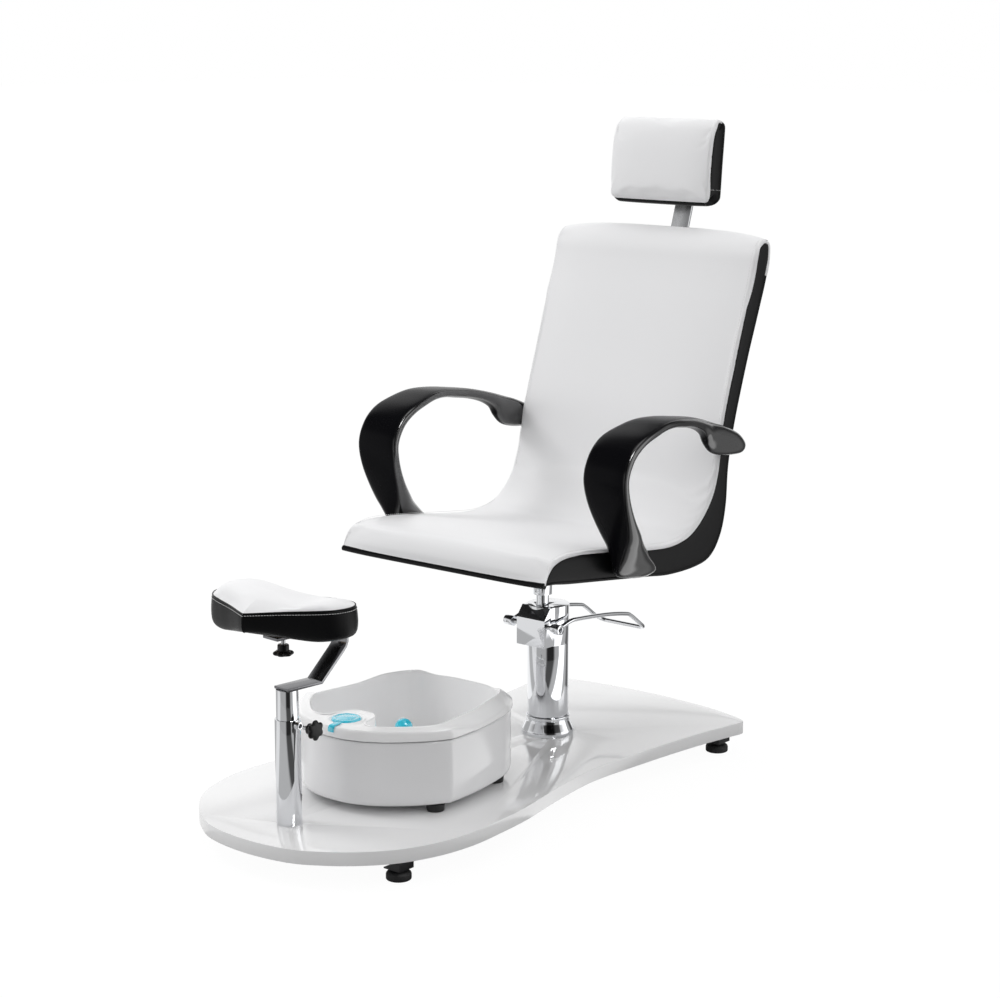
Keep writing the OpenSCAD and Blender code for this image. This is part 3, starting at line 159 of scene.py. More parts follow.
world = bpy.data.worlds.new("tent")
scene.world = world
world.use_nodes = True
tree = world.node_tree
tree.nodes.clear()
east, north, sky = coordinates(tree, "Generated")
turned = north.angle(east)
flag = abs(turned + 2.83).ramp(0.45, 0.75).larger(abs(sky - 0.72).ramp(0.12, 0.22))
window = abs(turned - 2.40).ramp(0.45, 0.70, 1.0, 0.0) * sky.ramp(0.64, 0.76, 1.0, 0.0) * sky.ramp(0.30, 0.40)
zones = around(turned) * sky.ramp(0.26, 0.50, 1.0, 0.12) + sky.ramp(0.86, 0.97) * 0.10
zones = zones.larger(window) * (flag * 0.9 + 0.1)
walls = abs(turned + 0.864).ramp(0.45, 1.25, 0.04, 1.22)
lit = walls.larger(sky.ramp(0.12, 0.42) * 0.90) * sky.ramp(0.50, 0.92, 1.0, 0.5)
gloss = seen_by(tree, "Glossy")
clear = seen_by(tree, "Camera").larger(seen_by(tree, "Transmission"))
strength = clear.larger(gloss * zones).larger((1 - gloss.larger(clear)) * lit)
tent = node(tree, "ShaderNodeBackground", None, {"Color": (1, 1, 1, 1), "Strength": strength})
node(tree, "ShaderNodeOutputWorld", None, {"Surface": Sum(tree, tent.outputs[0])})
# The key lamp would show as a spot in the armrests, so it lights no gloss. The rim strip is gloss alone.
for name, place, aim, size, watts, kind in (
    ("key_lamp", (-2.4, -1.2, 3.0), (0, 0, 0.5), 1.1, 33, "diffuse"),
    ("top_lamp", (0.5, 0.3, 3.4), (0, -0.2, 0.3), 1.7, 10, "both"),
    ("rim_strip", (2.3, -0.5, 2.8), (0.28, 0, 0.62), 1.0, 38, "gloss"),
):
    lamp = bpy.data.lights.new(name, "AREA")
    lamp.size = size
    lamp.energy = watts
    holder = bpy.data.objects.new(name, lamp)
    scene.collection.objects.link(holder)
    holder.visible_diffuse = kind != "gloss"
    holder.visible_glossy = kind != "diffuse"
    holder.location = place
    holder.rotation_euler = (Vector(aim) - Vector(place)).to_track_quat("-Z", "Y").to_euler()

# Floor: white without an edge, as in the photograph. It shows white to the camera, keeps a faint
# soft shadow of the object, and has the tent's dark zones round the object for gloss alone.
floor_reach, floor_middle = 40, -0.15
floor_mesh = bpy.data.meshes.new("floor")
corners = [(x * floor_reach, y * floor_reach, 0) for x, y in ((-1, -1), (1, -1), (1, 1), (-1, 1))]
floor_mesh.from_pydata(corners, [], [(0, 1, 2, 3)])
floor = bpy.data.objects.new("floor", floor_mesh)
scene.collection.objects.link(floor)
paper = bpy.data.materials.new("floor_paper")
paper.use_nodes = True
tree = paper.node_tree
tree.nodes.clear()
east, north, _ = coordinates(tree, "Object")
gloss, seen = seen_by(tree, "Glossy"), seen_by(tree, "Camera")
shine = (seen * 0.96).larger(gloss * around((north - floor_middle).angle(east)))
glow = node(tree, "ShaderNodeEmission", None, {"Strength": shine})
grey = (0.44 - seen.larger(gloss) * 0.38).colours((0, 0, 0), (1, 1, 1))
paint = node(tree, "ShaderNodeBsdfDiffuse", None, {"Color": grey})
shaders = {0: Sum(tree, glow.outputs[0]), 1: Sum(tree, paint.outputs[0])}
both = node(tree, "ShaderNodeAddShader", None, shaders)
node(tree, "ShaderNodeOutputMaterial", None, {"Surface": Sum(tree, both.outputs[0])})
floor_mesh.materials.append(paper)


# Platform board: high-gloss white laminate on a board with softly broken edges, which everything
# else is screwed to or stands on. Its gloss mirrors the post, the basin and the column.
class Finish:
    """A procedural material: one shader, set by name, and textures in the object's own metres."""

    def __init__(self, name, colour, roughness, slot=None, **values):
        self.slot = slot or name
        self.material = bpy.data.materials.new(name)
        self.material.use_nodes = True
        self.tree = self.material.node_tree
        self.shader = self.tree.nodes["Principled BSDF"]
        self.place = Sum(self.tree, node(self.tree, "ShaderNodeTexCoord").outputs["Object"])
        self.shader.inputs["Base Color"].default_value = (*colour, 1)
        self.shader.inputs["Roughness"].default_value = roughness
        for key, value in values.items():
            self.shader.inputs[key.replace("_", " ")].default_value = value
        self.material.diffuse_color = (*colour, 1)

    def noise(self, scale, detail=2, rough=0.5, stretch=(1, 1, 1)):
        times = {"operation": "MULTIPLY"}
        drawn = node(self.tree, "ShaderNodeVectorMath", times, {0: self.place, 1: stretch})
        vector = Sum(self.tree, drawn.outputs[0])
        values = {"Scale": scale, "Detail": detail, "Roughness": rough, "Vector": vector}
        made = node(self.tree, "ShaderNodeTexNoise", None, values)
        return Sum(self.tree, made.outputs["Fac"])

    def cells(self, scale):
        made = node(self.tree, "ShaderNodeTexVoronoi", None, {"Scale": scale, "Vector": self.place})
        return Sum(self.tree, made.outputs["Distance"])

    def drive(self, name, value):
        self.tree.links.new(value.socket, self.shader.inputs[name])

    def bump(self, height, distance, strength=1.0):
        normal = self.shader.inputs["Normal"]
        sockets = {"Distance": distance, "Strength": strength, "Height": height}
        if normal.is_linked:
            sockets["Normal"] = Sum(self.tree, normal.links[0].from_socket)
        self.tree.links.new(node(self.tree, "ShaderNodeBump", None, sockets).outputs[0], normal)


def placed(name, mesh, body, finish, nodes=(), sharp=32):
    """A new piece in a finish, on a body: smooth but for sharp edges, and standing for CAD nodes if named."""
    if mesh.attributes.get("custom_normal"):
        mesh.attributes.remove(mesh.attributes["custom_normal"])
    mesh.shade_smooth()
    mesh.set_sharp_from_angle(angle=math.radians(sharp))
    mesh.materials.clear()
    mesh.materials.append(finish.material)
    piece = bpy.data.objects.new(name, mesh)
    scene.collection.objects.link(piece)
    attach(piece, body)
    if nodes:
        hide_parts(*nodes)
    return piece


def dressed(finish, *nodes):
    """CAD nodes that show as they are, in a finish."""
    for name in nodes:
        mesh = frame["nodes"][name].data
        mesh.materials.clear()
        mesh.materials.append(finish.material)


def worked_out(name, mesh, kind, **settings):
    """What a modifier makes of a mesh."""
    holder = bpy.data.objects.new(name, mesh)
    scene.collection.objects.link(holder)
    modifier = holder.modifiers.new(name, kind)
    for key, value in settings.items():
        if key in modifier.bl_rna.properties:
            setattr(modifier, key, value)
        else:
            modifier[key] = value
    bpy.context.view_layer.update()
    made = bpy.data.meshes.new_from_object(holder.evaluated_get(bpy.context.evaluated_depsgraph_get()))
    bpy.data.objects.remove(holder)
    return made


def eased(name, edge, finish, steps=2):
    """The CAD node's own shape with its sharp edges broken, as a machined or sawn piece has them."""
    source = frame["nodes"][name]
    form = bmesh.new()
    form.from_mesh(source.data)
    bmesh.ops.remove_doubles(form, verts=form.verts, dist=2e-6)
    bmesh.ops.dissolve_limit(form, angle_limit=math.radians(0.6), verts=form.verts, edges=form.edges)
    mesh = bpy.data.meshes.new(name + "_form")
    form.to_mesh(mesh)
    form.free()
    made = worked_out(name + "_form", mesh, "BEVEL", width=edge, segments=steps, limit_method="ANGLE",
                      angle_limit=math.radians(34), use_clamp_overlap=True)
    placed(name + "_look", made, source["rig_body"], finish, [name])


board_white = Finish("board_white", (0.89, 0.89, 0.895), 0.055, Coat_Weight=0.6, Coat_Roughness=0.03, IOR=1.5)
board_white.bump(board_white.noise(26), 0.0004, 0.25)
board_white.drive("Roughness", board_white.noise(9, 3).ramp(0.3, 0.8, 0.045, 0.075))
eased("deck", 0.0015, board_white, steps=3)

# Levelling feet: four rubber pads on zinc-plated studs with lock nuts, in steel brackets folded from
# sheet and painted black, each held under the board by two wood screws.
steel_dark = Finish("steel_dark", (0.03, 0.03, 0.032), 0.42, Metallic=0.3)
steel_dark.bump(steel_dark.noise(900), 0.00012, 0.5)
zinc = Finish("zinc", (0.62, 0.63, 0.64), 0.32, Metallic=1.0)
zinc.drive("Roughness", zinc.noise(300, 3).ramp(0.3, 0.75, 0.24, 0.42))
rubber = Finish("rubber_black", (0.018, 0.018, 0.019), 0.62)
rubber.bump(rubber.noise(700, 3), 0.0002, 0.6)
eased("foot_brackets", 0.0005, steel_dark)
eased("foot_locknuts", 0.0003, zinc)
eased("foot_pads", 0.0008, rubber)
dressed(zinc, "bracket_screws", "foot_studs")

# Pump: a hydraulic lifting pump bolted to the board. A chromed cover and base ring hide its cylinder,
# and its plated head carries the pedal shaft, whose cam drives a brass plunger.
chrome = Finish("chrome", (0.80, 0.81, 0.83), 0.05, Metallic=1.0)
chrome.drive("Roughness", chrome.noise(60, 3).ramp(0.35, 0.8, 0.035, 0.09))
brass = Finish("brass", (0.72, 0.53, 0.24), 0.3, Metallic=1.0)
brass.drive("Roughness", brass.noise(200).ramp(0.3, 0.8, 0.22, 0.4))
for name, edge in (
    ("pump_base_ring", 0.0005), ("pump_column", 0.0004), ("pump_head", 0.0014), ("pedal_bosses", 0.0008),
):
    eased(name, edge, chrome)
dressed(chrome, "lift_rod")
dressed(steel_dark, "pump_base_plate", "lift_cylinder")
dressed(zinc, "pump_bolts", "pedal_shaft", "boss_screws")
dressed(brass, "rod_gland", "pump_plunger")


# Pedal lever: one chromed wire bent from boss to boss, round a crossbar behind the column.
# Its bends are drawn in millimetres from the pump axis at the board's top, like the CAD's.
def curved(points, steps):
    """A smooth line through points, with a few steps between each two."""
    points = [np.array(q, float) for q in points]
    last, made = len(points) - 1, []
    for i in range(last):
        a, b, c, d = points[max(i - 1, 0)], points[i], points[i + 1], points[min(i + 2, last)]
        for k in range(steps):
            t = k / steps
            bends = (2 * a - 5 * b + 4 * c - d) * t**2 + (3 * b - a - 3 * c + d) * t**3
            made.append(b + ((c - a) * t + bends) / 2)
    return np.array([*made, points[last]])


def skin(name, grid, round_v=True, caps=False):
    """A mesh over rows of points: each row may close on itself, and the first or both ends may be capped."""
    rows, columns = grid.shape[:2]
    faces = []
    for i in range(rows - 1):
        for j in range(columns if round_v else columns - 1):
            k = (j + 1) % columns
            faces.append((i * columns + j, i * columns + k, (i + 1) * columns + k, (i + 1) * columns + j))
    if caps:
        faces.append(tuple(range(columns - 1, -1, -1)))
    if caps is True:
        faces.append(tuple(range((rows - 1) * columns, rows * columns)))
    mesh = bpy.data.meshes.new(name)
    mesh.from_pydata(grid.reshape(-1, 3).tolist(), [], faces)
    form = bmesh.new()
    form.from_mesh(mesh)
    bmesh.ops.remove_doubles(form, verts=form.verts, dist=1e-6)
    bmesh.ops.recalc_face_normals(form, faces=form.faces)
    middle = sum((v.co for v in form.verts), Vector()) / len(form.verts)
    if sum((f.calc_center_median() - middle).dot(f.normal) * f.calc_area() for f in form.faces) < 0:
        bmesh.ops.reverse_faces(form, faces=form.faces)
    form.to_mesh(mesh)
    form.free()
    return mesh


def wire(path, radius, sides=20):
    """Rings round a path: the grid of a bent wire."""
    path = np.asarray(path, float)
    run = np.gradient(path, axis=0)
    run /= np.linalg.norm(run, axis=1)[:, None]
    side = np.cross((0, 0, 1), run)
    steep = np.linalg.norm(side, axis=1) < 1e-3
    side[steep] = (1, 0, 0)
    side /= np.linalg.norm(side, axis=1)[:, None]
    up = np.cross(run, side)
    turn = np.linspace(0, 2 * math.pi, sides, endpoint=False)
    ring = side[:, None] * np.cos(turn)[:, None] + up[:, None] * np.sin(turn)[:, None]
    return path[:, None] + ring * radius


deck_origin = np.array((0, 0.190954, 0.065))
arm_spread, lever_radius = 59.0, 0.0044
shaft_y, shaft_z = -46.0, 227.5
rise = 20 * np.array((math.cos(math.radians(10)), math.sin(math.radians(10))))
half = [(0, *(rise * share)) for share in (0.32, 0.62, 0.95)] + [
    (0, 40, 8.4), (0, 66, 8.8), (0, 157.6, 0), (0, 221, -10.5), (0, 239.3, -17.6), (0, 269.8, -39.6),
    (-2.2, 283, -48.4), (-9.9, 291.8, -53.9), (-22, 294, -55),
]
half = np.array(half) + (arm_spread, shaft_y, shaft_z)
line = curved(np.vstack((half, half[::-1] * (-1, 1, 1))), 6) / 1000 + deck_origin
lever = skin("lever", wire(line, lever_radius), caps=True)
placed("pedal_lever_look", lever, "pedal", chrome, ["pedal_lever"])

# Seat fittings: a chromed socket with its grub screw turns on the rod, under a steel plate that is
# bolted to the plywood core. More bolts come through the core into the armrests.
eased("seat_socket", 0.0007, chrome)
eased("seat_plate", 0.0008, steel_dark)
dressed(zinc, "socket_screw", "seat_bolts", "armrest_bolts")

# Seat: the white cover runs as one padded sheet from the front lip to over the top edge. The rows
# are its side profile: front and rear line, as shares of the seat's run and rise.
leather_white = Finish("leather_white", (0.89, 0.89, 0.90), 0.40, Coat_Weight=0.12, Coat_Roughness=0.35)
leather_white.bump(leather_white.cells(1500), 0.00012, 0.35)
leather_white.bump(leather_white.noise(28, 3), 0.0008, 0.12)
thread_white = Finish("thread_white", (0.80, 0.80, 0.80), 0.6, slot="leather_white")
profile = [
    (0.000, 0.082, 0.000, 0.075), (0.011, 0.109, 0.015, 0.074), (0.035, 0.142, 0.044, 0.071),
    (0.103, 0.156, 0.098, 0.061), (0.229, 0.144, 0.220, 0.044), (0.359, 0.126, 0.351, 0.026),
    (0.454, 0.113, 0.447, 0.013), (0.549, 0.105, 0.543, 0.000), (0.631, 0.122, 0.660, 0.001),
    (0.687, 0.163, 0.734, 0.021), (0.722, 0.214, 0.782, 0.083), (0.740, 0.270, 0.806, 0.174),
    (0.754, 0.342, 0.815, 0.302), (0.779, 0.462, 0.843, 0.438), (0.832, 0.645, 0.898, 0.622),
    (0.872, 0.780, 0.942, 0.750), (0.895, 0.855, 0.967, 0.824), (0.911, 0.915, 0.983, 0.880),
    (0.919, 0.952, 0.999, 0.936), (0.938, 0.984, 1.000, 0.975), (0.958, 0.998, 0.990, 0.992),
]
run_and_rise, low_front = np.array((0.707, 0.625)), np.array((-0.321, 0.346)) + deck_origin[1:]
profile = curved(profile, 8)
inner, outer = profile[:, :2] * run_and_rise + low_front, profile[:, 2:] * run_and_rise + low_front
half_width = 0.250


def evenly(line, step=None, count=None):
    """The same line with points an even step apart, or with a count of even points."""
    line = np.asarray(line, float)
    gone = np.concatenate(([0], np.cumsum(np.linalg.norm(np.diff(line, axis=0), axis=1))))
    at = np.linspace(0, gone[-1], count or max(int(gone[-1] / step), 2) + 1)
    return np.column_stack([np.interp(at, gone, values) for values in line.T])


def sheet_over(path, width, crown, roll, columns=44, lift=0.0):
    """A padded sheet swept along a side profile: crowned across, rolled down at both sides and tucked in."""
    tuck = 0.004
    run = np.gradient(path, axis=0)
    run /= np.linalg.norm(run, axis=1)[:, None]
    out = np.column_stack((-run[:, 1], run[:, 0]))
    width, lift = np.broadcast_to(width, len(path)), np.broadcast_to(lift, len(path))
    shares = np.sin(np.linspace(math.pi / 2, -math.pi / 2, columns))[1:-1]
    grid = []
    for point, away, w, high, r, up in zip(path, out, width, crown, roll, lift):
        edge = [(w - tuck, -r - tuck)]
        edge += [(w - r + r * math.sin(a), -r + r * math.cos(a)) for a in np.linspace(math.pi / 2, 0, 7)]
        middle = [(x * (w - r), high * (1 - abs(x) ** 4)) for x in shares]
        line = edge + middle + [(-x, h) for x, h in reversed(edge)]
        grid.append([(x, *(point + away * (h + up))) for x, h in line])
    return np.array(grid)


def soft(value, low=0, high=1):
    """Zero below, one above, smooth between."""
    t = np.clip((value - low) / (high - low), 0, 1)
    return t * t * (3 - 2 * t)


def eased_in(count, size, at_start, at_end, ends):
    """A size along a line that grows from its start and shrinks to its end over a number of points."""
    k = np.arange(count)
    grows = at_start + (size - at_start) * soft(k, 0, ends)
    return np.minimum(grows, at_end + (size - at_end) * soft(count - 1 - k, 0, ends))


def plumped(mesh, held, force, most, slack=0.006, steps=20):
    """Foam pressed against a cover's mesh: it stays at its seams and moves by a limited amount elsewhere."""
    start = np.array([v.co for v in mesh.vertices])
    cover = bpy.data.objects.new("cover_at_work", mesh.copy())
    scene.collection.objects.link(cover)
    cover.vertex_groups.new(name="seams").add(np.flatnonzero(held).tolist(), 1.0, "REPLACE")
    cloth = cover.modifiers.new("foam", "CLOTH")
    for name, value in {
        "quality": 5, "mass": 0.25, "tension_stiffness": 12, "compression_stiffness": 12,
        "shear_stiffness": 6, "bending_stiffness": 0.4, "use_pressure": True,
        "uniform_pressure_force": force, "shrink_min": -slack, "vertex_group_mass": "seams",
    }.items():
        setattr(cloth.settings, name, value)
    cloth.settings.effector_weights.gravity = 0
    cloth.collision_settings.use_collision = False
    cloth.point_cache.frame_start, cloth.point_cache.frame_end = 1, steps
    for step in range(steps):
        scene.frame_set(step + 1)
    view = cover.evaluated_get(bpy.context.evaluated_depsgraph_get())
    moved = np.array([v.co for v in view.data.vertices]) - start
    scene.frame_set(1)
    bpy.data.objects.remove(cover)
    far = np.linalg.norm(moved, axis=1)
    moved *= (most * np.tanh(far / most) / np.maximum(far, 1e-9))[:, None]
    moved[held] = 0
    mesh.vertices.foreach_set("co", (start + moved).ravel())
    mesh.update()


def rim_of(mesh):
    """Which points of a sheet lie on its open edge."""
    form = bmesh.new()
    form.from_mesh(mesh)
    held = np.array([v.is_boundary for v in form.verts])
    form.free()
    return held


stitch_run = bpy.data.node_groups.new("stitch_run", "GeometryNodeTree")
for label, way, kind in (
    ("Geometry", "INPUT", "Geometry"), ("Step", "INPUT", "Float"), ("Size", "INPUT", "Vector"),
    ("Thread", "INPUT", "Material"), ("Geometry", "OUTPUT", "Geometry"),
):
    stitch_run.interface.new_socket(label, in_out=way, socket_type="NodeSocket" + kind)


def next_step(kind, output, settings=None, **sockets):
    """One step of the stitch run, as what comes out of it."""
    return Sum(stitch_run, node(stitch_run, kind, settings, sockets).outputs[output])


given = {output.name: Sum(stitch_run, output) for output in node(stitch_run, "NodeGroupInput").outputs}
path = next_step("GeometryNodeMeshToCurve", "Curve", Mesh=given["Geometry"])
path = next_step("GeometryNodeResampleCurve", "Curve", {"mode": "LENGTH"}, Curve=path, Length=given["Step"])
along = next_step("GeometryNodeInputTangent", "Tangent")
turned = next_step("FunctionNodeAlignRotationToVector", "Rotation", {"axis": "Z"}, Vector=along)
spindle = next_step("GeometryNodeMeshIcoSphere", "Mesh", Subdivisions=2)
threads = next_step(
    "GeometryNodeInstanceOnPoints", "Instances",
    Points=path, Instance=spindle, Rotation=turned, Scale=given["Size"],
)
threads = next_step("GeometryNodeRealizeInstances", "Geometry", Geometry=threads)
threads = next_step("GeometryNodeSetMaterial", "Geometry", Geometry=threads, Material=given["Thread"])
node(stitch_run, "NodeGroupOutput", None, {"Geometry": threads})
inputs = {item.name: item.identifier for item in stitch_run.interface.items_tree if item.in_out == "INPUT"}


def stitched(name, line, step, length, thick, body):
    """A run of stitches along a line: one small spindle of thread for each, made by geometry nodes."""
    path_mesh = bpy.data.meshes.new(name + "_path")
    path_mesh.from_pydata(np.asarray(line).tolist(), [(i, i + 1) for i in range(len(line) - 1)], [])
    made = worked_out(name + "_path", path_mesh, "NODES", node_group=stitch_run, **{
        inputs["Step"]: step,
        inputs["Size"]: (thick, thick, length / 2),
        inputs["Thread"]: thread_white.material,
    })
    placed(name, made, body, thread_white, sharp=80)


top_edge = (inner[-1] + outer[-1]) / 2 + (-0.001, 0.0035)
path = np.vstack((inner[0] * 0.4 + outer[0] * 0.6, inner, top_edge, outer[-1:-26:-1]))
path = evenly(path, 0.0052)
for _ in range(3):
    path[1:-1] = (path[:-2] + path[1:-1] * 2 + path[2:]) / 4
rows = np.arange(len(path))
lip_rows, lip_crown = [0, 1, 2, 3.5, 6, 14, 24], [0.0015, 0.0058, 0.0095, 0.0120, 0.0130, 0.0098, 0.0090]
crown = eased_in(len(path), 0.009, 0.0015, 0.001, 14)
crown = np.where(rows < lip_rows[-1], np.interp(rows, lip_rows, lip_crown), crown)
roll = eased_in(len(path), 0.0075, 0.0020, 0.004, 10)
grid = sheet_over(path, half_width + 0.0015, crown, roll)
mesh = skin("seat_cover", grid, round_v=False)
plumped(mesh, rim_of(mesh), 1.2, 0.0035)
# The seams run along the sheet's columns just inside its rolled edges.
seam_columns = (("left", 8), ("right", -9))
for side, column in seam_columns:
    line = grid[6:-10, column]
    away = np.cross(np.gradient(line, axis=0), (1, 0, 0))
    away /= np.linalg.norm(away, axis=1)[:, None]
    stitched("seat_stitches_" + side, line + away * 0.0002, 0.0058, 0.0040, 0.00055, "seat")
cover = placed("seat_cover", mesh, "seat", leather_white, ["seat_pad", "seat_core"], sharp=60)

# Seat's black side panels: slim upholstered strips between the white cover and the back, slightly
# domed, with a drawn-in seam along both edges.
leather_black = Finish("leather_black", (0.0055, 0.0055, 0.006), 0.34, Specular_IOR_Level=0.13)
leather_black.bump(leather_black.cells(1300), 0.00016, 0.6)
shares = np.linspace(0, 1, 13)
bulge = (1 - abs(shares * 2 - 1) ** 3) ** 0.6
for name, side in (("side_panel_left", 1), ("side_panel_right", -1)):
    grid = []
    for a, b in zip(inner, outer):
        deep = np.linalg.norm(b - a)
        first, last = min(0.0075, deep * 0.35), deep - min(0.004, deep * 0.3)
        across = a + (b - a) / deep * (first + (last - first) * shares)[:, None]
        grid.append(np.column_stack((side * (half_width - 0.0022 + min(0.0028, deep * 0.1) * bulge), across)))
    mesh = skin(name, np.array(grid), round_v=False)
    placed(name + "_look", mesh, "seat", leather_black, [name], sharp=60)

# Seat's black back and underside: one sheet over the rear line, with a roll round its sides and
# the black piping that closes the lip's lower edge.
path = evenly(outer[:-24], 0.007)[::-1]
crown = eased_in(len(path), 0.0016, 0.0002, 0.0002, 10)
roll = eased_in(len(path), 0.005, 0.003, 0.002, 8)
mesh = skin("back_cover", sheet_over(path, half_width + 0.0004, crown, roll, 24), round_v=False)
placed("back_cover_look", mesh, "seat", leather_black, ["back_cover"], sharp=60)
lip_y, lip_z = inner[0] * 0.15 + outer[0] * 0.85 + (0.001, -0.0022)
across = np.linspace(-half_width, half_width, 60)
line = [(x, lip_y, lip_z + 0.002 * abs(x / half_width) ** 6) for x in across]
placed("lip_piping", skin("lip_piping", wire(line, 0.0054, 16), caps=True), "seat", leather_black)

# Armrests: moulded black loops. Each row gives the loop's outer and inner edge as shares of its run
# and rise, the band's width share and how far it stands off the seat's side.
rim_black = Finish(
    "plastic_black_rim", (0.004, 0.004, 0.005), 0.24, slot="plastic_black", Specular_IOR_Level=0.05,
    Coat_Roughness=0.14, Coat_IOR=1.9,
)
rim_black.drive("Coat Weight", abs(coordinates(rim_black.tree, "Normal")[0]).ramp(0.22, 0.60))
loop = [
    (1.051, 0.687, 1.045, 0.660, 0.18, 0), (1.040, 0.717, 1.021, 0.633, 0.26, 0),
    (0.991, 0.777, 0.968, 0.633, 0.3, 0), (0.904, 0.833, 0.883, 0.647, 0.31, 0),
    (0.840, 0.863, 0.813, 0.677, 0.32, 0), (0.798, 0.883, 0.772, 0.733, 0.33, 0),
    (0.755, 0.903, 0.747, 0.800, 0.35, 0.04), (0.698, 0.927, 0.687, 0.853, 0.4, 0.12),
    (0.613, 0.957, 0.602, 0.890, 0.5, 0.25), (0.517, 0.980, 0.511, 0.913, 0.62, 0.42),
    (0.423, 0.997, 0.421, 0.933, 0.74, 0.6), (0.332, 0.997, 0.338, 0.933, 0.85, 0.78),
    (0.243, 0.970, 0.260, 0.910, 0.94, 0.92), (0.153, 0.927, 0.183, 0.873, 1, 1),
    (0.090, 0.867, 0.130, 0.817, 1, 1), (0.052, 0.790, 0.098, 0.753, 1, 1),
    (0.034, 0.707, 0.081, 0.687, 1, 1), (0.036, 0.620, 0.083, 0.613, 1, 1),
    (0.053, 0.510, 0.102, 0.530, 0.97, 0.96), (0.080, 0.397, 0.140, 0.430, 0.92, 0.88),
    (0.108, 0.280, 0.196, 0.337, 0.84, 0.72), (0.124, 0.190, 0.260, 0.243, 0.68, 0.48),
    (0.136, 0.113, 0.333, 0.140, 0.56, 0.18), (0.152, 0.063, 0.388, 0.070, 0.50, 0.02),
    (0.182, 0.033, 0.402, 0.030, 0.44, 0), (0.236, 0.016, 0.368, 0.004, 0.36, 0),
]
turns = np.linspace(0, 2 * math.pi, 56, endpoint=False)
spread_out = np.sin(np.clip(np.cos(turns) * 1.22, -1, 1) * math.pi / 2)
loop_size, loop_corner = np.array((0.470, 0.300)), np.array((-0.210, 0.368))
widest, stand_off = 0.092, 0.032
rings = []
for row in curved(loop, 6):
    outside, inside = row[:2] * loop_size + loop_corner, row[2:4] * loop_size + loop_corner
    width, stand = row[4:]
    (y, z), (lift_y, lift_z) = (outside + inside) / 2, (outside - inside) / 2
    band = width * (widest + 0.008 * stand) / 2
    x = half_width + 0.0003 + band + (stand_off - band) * stand
    round_off = min(math.hypot(lift_y, lift_z) * 1.15, band * 0.8)
    wide = spread_out * (band - round_off) + np.cos(turns) * round_off
    rings.append(np.column_stack((x + wide, y + np.sin(turns) * lift_y, z + np.sin(turns) * lift_z)))
for _ in range(2):
    middle = rings[0].mean(axis=0)
    run = middle - rings[1].mean(axis=0)
    run /= np.linalg.norm(run)
    closing = ((0.25, 0.0052), (0.6, 0.0042), (0.86, 0.0022))
    rings = ([middle + (rings[0] - middle) * share + run * out for share, out in closing] + rings)[::-1]
rings = np.array(rings) + deck_origin
for name, side in (("armrest_left", 1), ("armrest_right", -1)):
    placed(name + "_look", skin(name, rings * (side, 1, 1), caps=True), "seat", rim_black, [name], sharp=70)

# Headrest bar and guide: a flat bent chromed bar slides in a moulded guide that four screws hold on
# the seat's back. At its top a steel yoke and pin let the pad's back plate tilt.
plastic_black = Finish("plastic_black", (0.004, 0.004, 0.005), 0.20, Specular_IOR_Level=0.09)
plastic_black.bump(plastic_black.noise(1500), 0.00006, 0.35)
bar_steel = Finish("bar_steel", (0.50, 0.505, 0.515), 0.26, slot="chrome", Metallic=1.0)
bar_steel.drive("Roughness", bar_steel.noise(80, 3, stretch=(1, 1, 0.1)).ramp(0.3, 0.8, 0.22, 0.34))
eased("headrest_guide", 0.0010, plastic_black)
eased("headrest_bar", 0.0007, bar_steel)
eased("headrest_yoke", 0.0006, steel_dark)
eased("headrest_backplate", 0.0006, steel_dark)
dressed(zinc, "guide_screws", "headrest_pin")


# Headrest: one white cover from the lower front seam over the rounded top to the back, between two
# black side panels drawn like a teardrop. Sizes are the pad's side profile in millimetres.
def laid(points, place):
    """Points carried to a place in the part."""
    points = np.asarray(points, float)
    flat = points.reshape(-1, 3) @ np.array(place.to_3x3()).T + np.array(place.translation)
    return flat.reshape(points.shape)


def spot(x, y, z):
    """A place, from the pump axis at the board's top."""
    return Matrix.Translation(Vector((x, y, z)) + Vector(deck_origin))


def turned_by(degrees, axis):
    """A turn about an axis."""
    return Matrix.Rotation(math.radians(degrees), 4, axis)


head_place = spot(0, 0.39912, 1.10894) @ turned_by(-5, "X")
front = [
    (-40, -79.5), (-44.6, -74), (-47, -62), (-48.2, -40), (-48.6, -10), (-48, 20), (-46.4, 44), (-43, 61),
    (-37, 74), (-28, 83), (-18, 87), (-8.5, 86.5),
]
rear = [
    (-8.5, 86.5), (-2.6, 81), (0.4, 70), (0.6, 40), (0, 0), (0, -60), (-1.6, -72), (-7, -80.6), (-18, -84.4),
    (-30, -85), (-37, -83), (-40, -79.5),
]
front, rear = (evenly(curved(line, 8), 3.0) / 1000 for line in (front, rear))
pad_half = 0.1232


def corner_width(path, round_off=0.022):
    """Half width of the pad along its profile: the lower corners are rounded in the front view."""
    corner_z, top_z = -0.064, 0.070
    low = np.clip((corner_z - path[:, 1]) / round_off, 0, 1)
    high = np.clip((path[:, 1] - top_z) / 0.014, 0, 1)
    return pad_half - round_off * (1 - np.sqrt(1 - low**2 * 0.985)) - 0.003 * high**2


def grown(line, amount):
    """A closed outline moved outward."""
    run = np.roll(line, -1, axis=0) - np.roll(line, 1, axis=0)
    run /= np.linalg.norm(run, axis=1)[:, None]
    return line + np.column_stack((run[:, 1], -run[:, 0])) * amount


